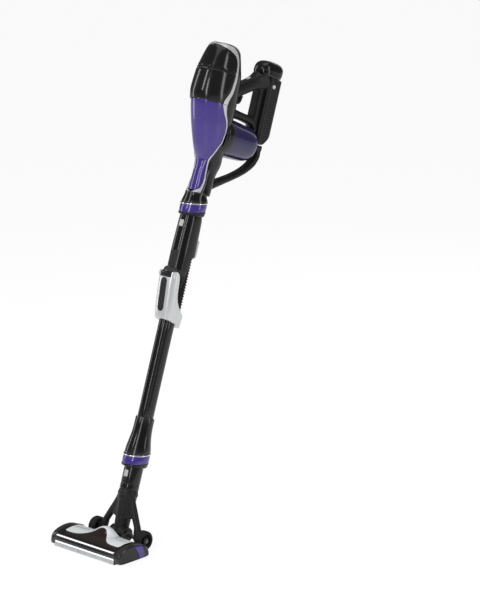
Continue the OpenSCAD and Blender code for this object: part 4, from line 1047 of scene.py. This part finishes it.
def buildFork():
    e, foot = fork["squareness"], fork["foot"]
    shell = stickLoft("flexFork", forkRows, e, 2.5, 0, 96)
    cutLine = [[p, foot + h] for p, h in fork["outline"]]
    carve(shell, sideSlab("c", cutLine, -60, 60), "INTERSECT")
    inside = [[foot + 20] + forkRows[3][1:]] + [row[:] for row in forkRows[3:-1]] + [[foot + 140] + forkRows[-1][1:]]
    carve(shell, stickLoft("i", inside, e, 3, -fork["wall"], 96))
    top = sideSlab("t", [[-70, foldS - 7], [foldP + 22, foldS - 7], [foldP + 22, foldS + 30], [-70, foldS + 30]],
                   -17.3, 17.3)
    carve(shell, top)
    tube = [[foot - 40, 17.1, tubeAxis - 20.1, tubeAxis + 20.1], [foot + 20, 17.1, tubeAxis - 20.1, tubeAxis + 20.1]]
    carve(shell, stickLoft("b", tube, 2, 10, 0, 64))
    carve(shell, lathe("h", [[0.02, 0], [14.5, 0], [14.5, 60], [0.02, 60]], stick(0, 3, foot + 10), alongStick, 48))
    seat = roundedRect(18.6, 78.6, 9.2, 8)
    carve(shell, seatCutter(seat, foot + 57, -60, -30))
    roundEdges(shell, 0.7, 42, 3)
    settle(shell, "wand_lower", "silver_paint", ["flex_fork"], 38)
    for side in (-1, 1):
        ear = lathe("forkEarLeft" if side < 0 else "forkEarRight",
                    softProfile([[3, 0], [8.4, 0], [8.4, 7.6], [3, 7.6]], 0.8),
                    stick(side * 17.5, foldP, foldS), acrossStick * side, 56, (0, 1, 0))
        settle(ear, "wand_lower", "silver_paint")


insert = {"half": 9.4, "low": 13, "long": 84, "pitch": 3.8}


def buildInsert():
    low, high, r = fork["foot"] + insert["low"], fork["foot"] + insert["low"] + insert["long"], insert["half"]
    rows = []
    for s in steps(low + 0.05, high - 0.05, 0.8):
        end = min(s - low, high - s)
        half = math.sqrt(max(0.05, r * r - (r - end) ** 2)) if end < r else r
        row = []
        for u in np.linspace(-1, 1, 31):
            x = u * half
            edge = min(half - abs(x), end) / 1.4
            diamond = diamondAt(x, s, insert["pitch"])
            row.append(frontOfFork(x, s, -0.5 + 0.4 * diamond * min(1, max(0, edge))))
        rows.append(row)
    settle(thicken(gridPiece("forkInsert", rows), 1.8, 0.15), "wand_lower", "black_matte", ["fork_insert"], 60)


tube = {"half": 17, "deep": 20, "groove": 0.7, "grooveWide": 0.09}


def buildTube():
    box = stickBox("lower_tube")
    rows = []
    for s in (box[0][2] + 0.5, box[0][2] + 40, (box[0][2] + box[1][2]) / 2, box[1][2] - 40, box[1][2] - 0.5):
        row = []
        for a in ringAngles(180):
            x, y = math.cos(a), math.sin(a)
            near = min(abs(math.atan2(math.sin(a - g), math.cos(a - g))) for g in (-0.75, math.pi + 0.75))
            dip = tube["groove"] * max(0, 1 - (near / tube["grooveWide"]) ** 2)
            row.append(stick((tube["half"] - dip) * power(x, 0.93),
                             tubeAxis + (tube["deep"] - dip) * power(y, 0.93), s))
        rows.append(row)
    pipe = gridPiece("lowerTube", rows, True)
    thicken(pipe, 2, 0.3)
    settle(pipe, "wand_lower", "black_gloss", ["lower_tube"])


buildArm()
buildStrip()
buildHose()
buildFork()
buildInsert()
buildTube()
print("flex joint made")

# ---------- neck yoke and wheels

yoke = {"legEnd": 64, "neckLow": 79, "neckHigh": 103, "voxel": 1.5, "rounds": 7}


def ballSolid(name, centre, radius):
    work = bmesh.new()
    bmesh.ops.create_icosphere(work, subdivisions=3, radius=radius * mm)
    mesh = bpy.data.meshes.new(name)
    work.to_mesh(mesh)
    work.free()
    mesh.transform(Matrix.Translation(centre))
    made = bpy.data.objects.new(name, mesh)
    scene.collection.objects.link(made)
    return made


def wrapped(name, solids):
    # the skin stretched over several solids
    work = bmesh.new()
    for solid in solids:
        work.from_mesh(solid.data)
        bpy.data.objects.remove(solid)
    found = bmesh.ops.convex_hull(work, input=work.verts)
    loose = [v for v in found["geom_interior"] if isinstance(v, bmesh.types.BMVert)]
    bmesh.ops.delete(work, geom=list(set(loose)), context="VERTS")
    mesh = bpy.data.meshes.new(name)
    work.to_mesh(mesh)
    work.free()
    made = bpy.data.objects.new(name, mesh)
    scene.collection.objects.link(made)
    return tidyMesh(made)


def drumSolid(r, low, high, centre, axis, start=(1, 0, 0)):
    return lathe("d", [[0.02, low], [r, low], [r, high], [0.02, high]], centre, axis, 48, start)


def buildYoke():
    solids = []
    end = yoke["legEnd"]
    for side in (-1, 1):
        shoulder = ballSolid("b", stick(side * 13, tubeAxis - 3, 90), 9)
        knee = ballSolid("b", stick(side * (end - 14), -2, 24), 8)
        solids.append(wrapped("u", [shoulder, knee]))
        foot = drumSolid(9.5, 0, 13, axlePoint + acrossStick * side * (end - 13.6) * mm, acrossStick * side, (0, 1, 0))
        solids.append(wrapped("f", [ballSolid("b", stick(side * (end - 14), -2, 24), 8), foot]))
    solids.append(drumSolid(neck["radius"], yoke["neckLow"], yoke["neckHigh"], onAxis(0), alongStick))
    solids.append(drumSolid(neck["radius"] + 1.6, yoke["neckHigh"] - 13, yoke["neckHigh"] - 7, onAxis(0), alongStick))
    solids.append(drumSolid(18, -24, 24, axlePoint, acrossStick, (0, 1, 0)))
    solids.append(wrapped("n", [drumSolid(20.5, 79, 83, onAxis(0), alongStick),
                                drumSolid(17, 4, 8, stick(0, 0, 0), alongStick)]))
    # the web that joins the legs at the front
    solids.append(wrapped("v", [ballSolid("b", stick(x, p, s), 3.2) for x, p, s in
                                ((-15, -14, 98), (15, -14, 98), (-41, -4, 45), (41, -4, 45), (-10, -10, 38),
                                 (10, -10, 38))]))
    solids.append(wrapped("r", [ballSolid("b", stick(x, p, s), 2.2) for x, p, s in
                                ((0, -20, 98), (0, -19, 62), (-12, -10, 92), (12, -10, 92), (0, -10, 46))]))
    whole = blended("yoke", solids, yoke["voxel"], yoke["rounds"])
    for cutter in (drumSolid(17.6, 85, 120, onAxis(0), alongStick), drumSolid(11, 10, 100, onAxis(0), alongStick),
                   drumSolid(4.1, -120, 120, axlePoint, acrossStick, (0, 1, 0))):
        carve(whole, cutter)
    settle(whole, "yoke", "black_matte", ["yoke"], 45)


wheel = {"radius": 23, "width": 20, "treads": 30, "spokes": 6}


def buildWheel(side, name, node):
    low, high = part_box(node)
    centre = Vector(((low.x + high.x) / 2, axlePoint.y, axlePoint.z))
    r, half = wheel["radius"], wheel["width"] / 2
    line = softProfile([[r - 7, -half], [r - 2.6, -half], [r - 0.2, -half + 3], [r, -3], [r, 3], [r - 0.2, half - 3],
                        [r - 2.6, half], [r - 6, half], [r - 8, half - 4], [r - 8, -half + 4]], 1.2)
    tyre = lathe(name, line, centre, acrossStick * side, 120, (0, 1, 0))
    for v in tyre.data.vertices:
        away = v.co - centre
        flat = math.hypot(away.y, away.z)
        if flat > (r - 2.8) * mm:
            turn = math.atan2(away.z, away.y)
            dip = 0.35 * mm * max(0, math.cos(turn * wheel["treads"])) * (1 if abs(away.x) < 7 * mm else 0.3)
            v.co = centre + Vector((away.x, away.y * (flat - dip) / flat, away.z * (flat - dip) / flat))
    settle(tyre, node, "tyre_rubber", [node])
    hubLine = softProfile([[4.1, -half + 1], [8, -half + 1], [8, -2], [r - 8.2, -2], [r - 8.2, 2], [9, 2.4], [8, half - 1],
                           [4.1, half - 0.4]], 0.7)
    hub = lathe(name + ".hub", hubLine, centre, acrossStick * side, 72, (0, 1, 0))
    holes = []
    for k in range(wheel["spokes"]):
        turn = 2 * math.pi * k / wheel["spokes"]
        place = centre + Vector((0, math.cos(turn), math.sin(turn))) * 11.6 * mm
        holes.append(drumSolid(2.3, -6, 6, place, acrossStick, (0, 1, 0)))
    carve(hub, joined("holes", holes))
    settle(hub, node, "black_matte")


buildYoke()
buildWheel(-1, "wheelLeft", "wheel_left")
buildWheel(1, "wheelRight", "wheel_right")
print("yoke and wheels made")

# ---------- floor head

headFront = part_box("end_caps")[0].y / mm
head = {
    "inner": -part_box("sole_plate")[0].x / mm, "outer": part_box("end_caps")[1].x / mm,
    # height of the top along the head, [behind the front edge, height]
    "topLine": [[0, 22], [3, 26], [12, 30], [28, 34.5], [46, 36.6], [62, 36], [74, 33], [82, 29], [88, 23]],
    # front edge of the pale panel: [distance from the middle, behind the front edge]
    "wave": [[0, 63], [10, 61], [19, 54], [28, 44], [38, 33], [50, 26], [66, 23.5], [100, 23]],
    "rearEdge": [[0, 88], [30, 88], [38, 80], [50, 74.5], [70, 72.5], [100, 72]],
    "hump": {"wide": 27, "start": 34, "full": 74, "high": 17},
}
topAt = smoothThrough(head["topLine"])
waveAt = smoothThrough(head["wave"])
rearAt = smoothThrough(head["rearEdge"])


def headTop(x, back):
    hump = head["hump"]
    rise = min(max((back - hump["start"]) / (hump["full"] - hump["start"]), 0), 1)
    rise = rise * rise * (3 - 2 * rise)
    across = max(0, 1 - (abs(x) / (hump["wide"] + 8)) ** 2.2) ** 1.6
    return topAt(back) + hump["high"] * rise * across * (1 - 0.35 * max(0, (back - 80) / 8))


def buildPanel():
    half = head["inner"] - 10
    rows = []
    for x in np.linspace(-half, half, 141):
        bow = 3.0 * max(0, (abs(x) - half + 8) / 8) ** 2
        first, last = waveAt(abs(x)) + bow, rearAt(abs(x)) - bow
        rows.append([floorPoint(x, headFront + back, headTop(x, back) + 0.5) for back in np.linspace(first, last, 42)])
    panel = gridPiece("headPanel", rows)
    thicken(panel, 2.2, 0.6, False)
    slots = []
    for side in (-1, 1):
        for k in range(6):
            x = side * (44 + 7 * k)
            back = rearAt(abs(x)) - 19
            slots.append(gridPiece("s", [[floorPoint(x + q[0] * 0.8 + side * q[1] * 0.3, headFront + back + q[1], z)
                                          for q in roundedRect(4.2, 11, 1.4, 3)] for z in (20, 60)], True, True))
    carve(panel, joined("slots", slots))
    settle(panel, "floor_head", "white_panel", ["head_cover"], 40)
    # the dark mouth round the duct, under the back of the hump
    rows = []
    for x in np.linspace(-head["inner"] + 3.4, head["inner"] - 3.4, 121):
        first = max(waveAt(abs(x)) + 6, 40)
        rows.append([floorPoint(x, headFront + back, headTop(x, back) - 2.4) for back in np.linspace(first, 88, 30)])
    settle(thicken(gridPiece("headDeck", rows), 1.6, 0.3, False), "floor_head", "black_matte")


def buildWindow():
    half = head["inner"] - 3.4
    rows = []
    for x in np.linspace(-half, half, 121):
        last = waveAt(abs(x)) + 3
        rows.append([floorPoint(x, headFront + back, headTop(x, back) - 0.9) for back in np.linspace(8, last, 40)])
    settle(thicken(gridPiece("brushWindow", rows), 1.5, 0.4, False), "floor_head", "window", ["brush_window"], 45)
    # dark frame along the window's front edge and both ends
    for side, name in ((-1, "windowEndLeft"), (1, "windowEndRight")):
        rows = [[floorPoint(side * x, headFront + back, topAt(back) + 0.2 - 0.5 * (abs(x - half + 4) / 6) ** 2)
                 for back in np.linspace(6, 84, 60)] for x in np.linspace(half - 8, half + 1.4, 9)]
        settle(thicken(gridPiece(name, rows), 1.8, 0.5, False), "floor_head", "black_gloss")
    rows = [[floorPoint(x, headFront + back, topAt(back) + 0.35) for back in np.linspace(6, 12.5, 8)]
            for x in np.linspace(-half, half, 61)]
    settle(thicken(gridPiece("windowFrame", rows), 1.8, 0.5, False), "floor_head", "black_gloss")


cap = {
    # side outline, [behind the front edge, height]
    "outline": [[-0.2, 4], [-0.6, 12], [1.5, 21], [6, 27], [14, 32], [28, 36.4], [46, 38.6], [62, 37.5], [76, 33.5],
                [88, 27], [95.5, 18], [98.6, 9], [98, 3], [94, 1.2], [50, 1], [6, 1.2]],
}


def roundTrip(points, rounds=2):
    # corner cutting: turns a coarse closed outline into a soft one
    for _ in range(rounds):
        fresh = []
        for i, q in enumerate(points):
            after = points[(i + 1) % len(points)]
            fresh += [[q[0] * 0.75 + after[0] * 0.25, q[1] * 0.75 + after[1] * 0.25],
                      [q[0] * 0.25 + after[0] * 0.75, q[1] * 0.25 + after[1] * 0.75]]
        points = fresh
    return points


def buildCaps():
    line = roundTrip(cap["outline"])
    stations = [[head["inner"] + 0.3, 1], [head["outer"] - 5, 1], [head["outer"] - 2.5, 0.985], [head["outer"] - 1, 0.955],
                [head["outer"] - 0.2, 0.91], [head["outer"], 0.86]]
    caps = []
    for side in (-1, 1):
        rows = [[floorPoint(side * x, headFront + 49 + (q[0] - 49) * size, 1 + (q[1] - 1) * size) for q in line]
                for x, size in stations]
        caps.append(gridPiece("c", rows, True, True))
    ends = joined("endCaps", caps)
    settle(ends, "floor_head", "black_gloss", ["end_caps"], 42)
    # a purple band down each cap, curved to the rear
    capTop = smoothThrough([[q[0], q[1]] for q in cap["outline"][2:12]])
    bands = []
    for side in (-1, 1):
        rows = []
        for t in np.linspace(0.12, 1, 24):
            z = 36 * (1 - t) + 2
            centre = 58 + 15 * math.sin(t * 1.35)
            half = 12 - 4.5 * t
            x = head["outer"] + 0.35 - 4.0 * max(0, 1 - t / 0.3) ** 2
            rows.append([floorPoint(side * x, headFront + b, z + (capTop(b) - 37.5) * max(0, 1 - t * 2.2))
                         for b in np.linspace(centre - half, centre + half, 16)])
        bands.append(gridPiece("b", rows if side > 0 else [row[::-1] for row in rows]))
    settle(thicken(joined("purpleBands", bands), 0.9, 0.2), "floor_head", "purple_gloss", ["purple_bands"], 50)


lamps = {"cells": 24}


def buildLamps():
    half = head["inner"] - 6
    rows = []
    for x in np.linspace(-half, half, 8 * lamps["cells"] + 1):
        rib = 0.18 * math.cos(2 * math.pi * lamps["cells"] * (x + half) / (2 * half))
        row = []
        for a in np.linspace(0, math.pi, 9):
            row.append(floorPoint(x, headFront + 3.1 - (1.9 + rib) * math.cos(a) * 0.9,
                                  25.4 + (1.5 + rib) * math.sin(a)))
        rows.append(row)
    upper = gridPiece("u", rows)
    rows = []
    for x in np.linspace(-half - 3, half + 3, 8 * lamps["cells"] + 1):
        rib = 0.15 * math.cos(2 * math.pi * lamps["cells"] * (x + half) / (2 * half))
        rows.append([floorPoint(x, headFront - 0.2 - (1.2 + rib) * math.sin(a), 11.6 + 2.0 * math.cos(a))
                     for a in np.linspace(0, math.pi, 9)])
    bars = joined("lightStrips", [upper, gridPiece("l", rows)])
    settle(thicken(bars, 0.8, 0.1), "floor_head", "light_lens", ["light_strips"], 50)
    # a dark rail between the two strips, and the clear lip that skims the floor
    railLine = [[0.6, 14.6], [-0.8, 15.6], [-0.9, 19], [0.2, 22.6], [1.2, 23.6], [3, 23.8], [3, 14.6]]
    rail = gridPiece("frontRail", [[floorPoint(x, headFront + q[0], q[1]) for q in roundTrip(railLine, 1)]
                                   for x in np.linspace(-head["inner"] + 0.6, head["inner"] - 0.6, 9)], True, True)
    settle(rail, "floor_head", "black_gloss")
    rows = [[floorPoint(x, headFront - 0.6 - 2.6 * t, 9.4 - 8.2 * t - 0.6 * abs(math.sin(x * 0.8)) * t)
             for t in np.linspace(0, 1, 8)] for x in np.linspace(-head["inner"] + 2, head["inner"] - 2, 240)]
    settle(thicken(gridPiece("clearLip", rows), 0.8, 0.1), "floor_head", "light_lens", [], 50, skirtLook)


skirtLook = smoked("clearSkirt", (0.75, 0.77, 0.79), 0.5, 0.1)
brushPlace = Vector(joints["brush_spin"]["pos_m"])
brush = {"core": 9, "reach": 15, "rows": 4, "tufts": 74, "twist": 2.2 * math.pi}


def buildBrush():
    half = -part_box("brush_roll")[0].x / mm - 5.5
    coreLine = softProfile([[0.02, -half - 5], [4, -half - 5], [4, -half], [brush["core"], -half], [brush["core"], half],
                            [4, half], [4, half + 6], [9, half + 8], [9, half + 15], [0.02, half + 15]], 0.4)
    core = lathe("brushRoll", coreLine, brushPlace, acrossStick, 48, (0, 1, 0))
    settle(core, "brush", "bristle", ["brush_roll"], look=finish["black_matte"])
    points, faces = [], []
    for row in range(brush["rows"]):
        for k in range(brush["tufts"]):
            u = k / (brush["tufts"] - 1)
            x = (2 * u - 1) * (half - 2)
            for lane, spread in ((0, -0.09), (1, 0.09)):
                turn = 2 * math.pi * row / brush["rows"] + brush["twist"] * abs(u - 0.5) + spread
                out = Vector((0, math.cos(turn), math.sin(turn)))
                side = Vector((0, -math.sin(turn), math.cos(turn)))
                lean = (0.5 if lane else -0.5) + 0.4 * math.sin(k * 2.4 + row)
                base = len(points)
                for h, w in ((brush["core"] - 0.6, 0.75), (brush["reach"] - 0.3, 1.15)):
                    for dx, dy in ((-w, -w * 0.6), (w, -w * 0.6), (w, w * 0.6), (-w, w * 0.6)):
                        points.append(brushPlace + (acrossStick * (x + dx + lean * (h > 10)) + out * h + side * dy) * mm)
                faces += [(base, base + 1, base + 5, base + 4), (base + 1, base + 2, base + 6, base + 5),
                          (base + 2, base + 3, base + 7, base + 6), (base + 3, base, base + 4, base + 7),
                          (base + 4, base + 5, base + 6, base + 7), (base + 3, base + 2, base + 1, base)]
    settle(newObject("bristleRows", points, faces), "brush", "bristle")


buildPanel()
buildWindow()
buildCaps()
buildLamps()
buildBrush()
print("floor head made")

# ---------- floor, lights and camera

studio = {
    "target": (-0.0046, 0.4819, 0.5064), "azimuth": 41.67, "elevation": 13.04, "roll": 0.46, "distance": 5.0,
    "lens": 124.45,
    # [name, place, size, watts]
    "lights": [["keyBox", (0.9, -2.9, 2.0), (0.5, 2.2), 24], ["leftBox", (-2.8, -0.9, 1.5), (0.5, 2.4), 14],
               ["rightBox", (3.0, 1.1, 1.6), (0.5, 2.4), 16], ["topBox", (0.2, 0.3, 3.2), (2.2, 2.2), 16],
               ["streakBox", (-0.7, -2.4, 2.5), (0.3, 1.6), 14],
               ["backBox", (-0.8, 3.2, 2.0), (2.0, 2.0), 10]],
}


def buildStudio():
    half = 14.0
    corners = [(-half, -half, 0), (half, -half, 0), (half, half, 0), (-half, half, 0)]
    floor = newObject("floor", corners, [(0, 1, 2, 3)])
    look = Shader("paleFloor")
    base = look.mix(look.noise(3, 2), (0.93, 0.93, 0.93, 1), (0.95, 0.95, 0.95, 1))
    floor.data.materials.append(look.finish(Base_Color=base, Roughness=0.9, Specular_IOR_Level=0.1))
    # the camera sees the floor lifted towards white, with its shadows kept
    tree = look.tree
    shaded = tree.links[-1].from_socket
    end = tree.links[-1].to_socket
    seenBy = look.node("ShaderNodeLightPath", output="Is Camera Ray")
    glow = look.node("ShaderNodeEmission", {}, {"Color": (1, 1, 1, 1), "Strength": 1.06})
    lifted = look.node("ShaderNodeMixShader", {}, {0: seenBy * 0.8, 1: Wire(look, shaded), 2: glow})
    tree.links.new(lifted.socket, end)
    world = bpy.data.worlds.new("studio")
    scene.world = world
    world.use_nodes = True
    nodes, links = world.node_tree.nodes, world.node_tree.links
    nodes.clear()
    rays = nodes.new("ShaderNodeLightPath")
    plain, seen, dim = (nodes.new("ShaderNodeBackground") for _ in range(3))
    plain.inputs[0].default_value, plain.inputs[1].default_value = (1, 1, 1, 1), 0.55
    seen.inputs[0].default_value, seen.inputs[1].default_value = (1, 1, 1, 1), 1.0
    dim.inputs[0].default_value, dim.inputs[1].default_value = (1, 1, 1, 1), 0.12
    glossy, camera = nodes.new("ShaderNodeMixShader"), nodes.new("ShaderNodeMixShader")
    out = nodes.new("ShaderNodeOutputWorld")
    links.new(rays.outputs["Is Glossy Ray"], glossy.inputs[0])
    links.new(plain.outputs[0], glossy.inputs[1])
    links.new(dim.outputs[0], glossy.inputs[2])
    links.new(rays.outputs["Is Camera Ray"], camera.inputs[0])
    links.new(glossy.outputs[0], camera.inputs[1])
    links.new(seen.outputs[0], camera.inputs[2])
    links.new(camera.outputs[0], out.inputs[0])
    aim = Vector(studio["target"])
    for name, place, size, watts in studio["lights"]:
        lamp = bpy.data.lights.new(name, "AREA")
        lamp.shape, lamp.size, lamp.size_y, lamp.energy = "RECTANGLE", size[0], size[1], watts
        holder = bpy.data.objects.new(name, lamp)
        holder.location = place
        holder.rotation_euler = (aim - Vector(place)).to_track_quat("-Z", "Y").to_euler()
        scene.collection.objects.link(holder)
    azimuth, elevation = math.radians(studio["azimuth"]), math.radians(studio["elevation"])
    away = Vector((math.sin(azimuth) * math.cos(elevation), -math.cos(azimuth) * math.cos(elevation),
                   math.sin(elevation)))
    view = bpy.data.cameras.new("camera")
    view.lens, view.sensor_width = studio["lens"], 36
    eye = bpy.data.objects.new("camera", view)
    eye.location = aim + away * studio["distance"]
    turn = (-away).to_track_quat("-Z", "Y") @ Quaternion((0, 0, 1), math.radians(studio["roll"]))
    eye.rotation_euler = turn.to_euler()
    scene.collection.objects.link(eye)
    scene.camera = eye


buildStudio()
scene.view_settings.view_transform = "Standard"
print("studio made")
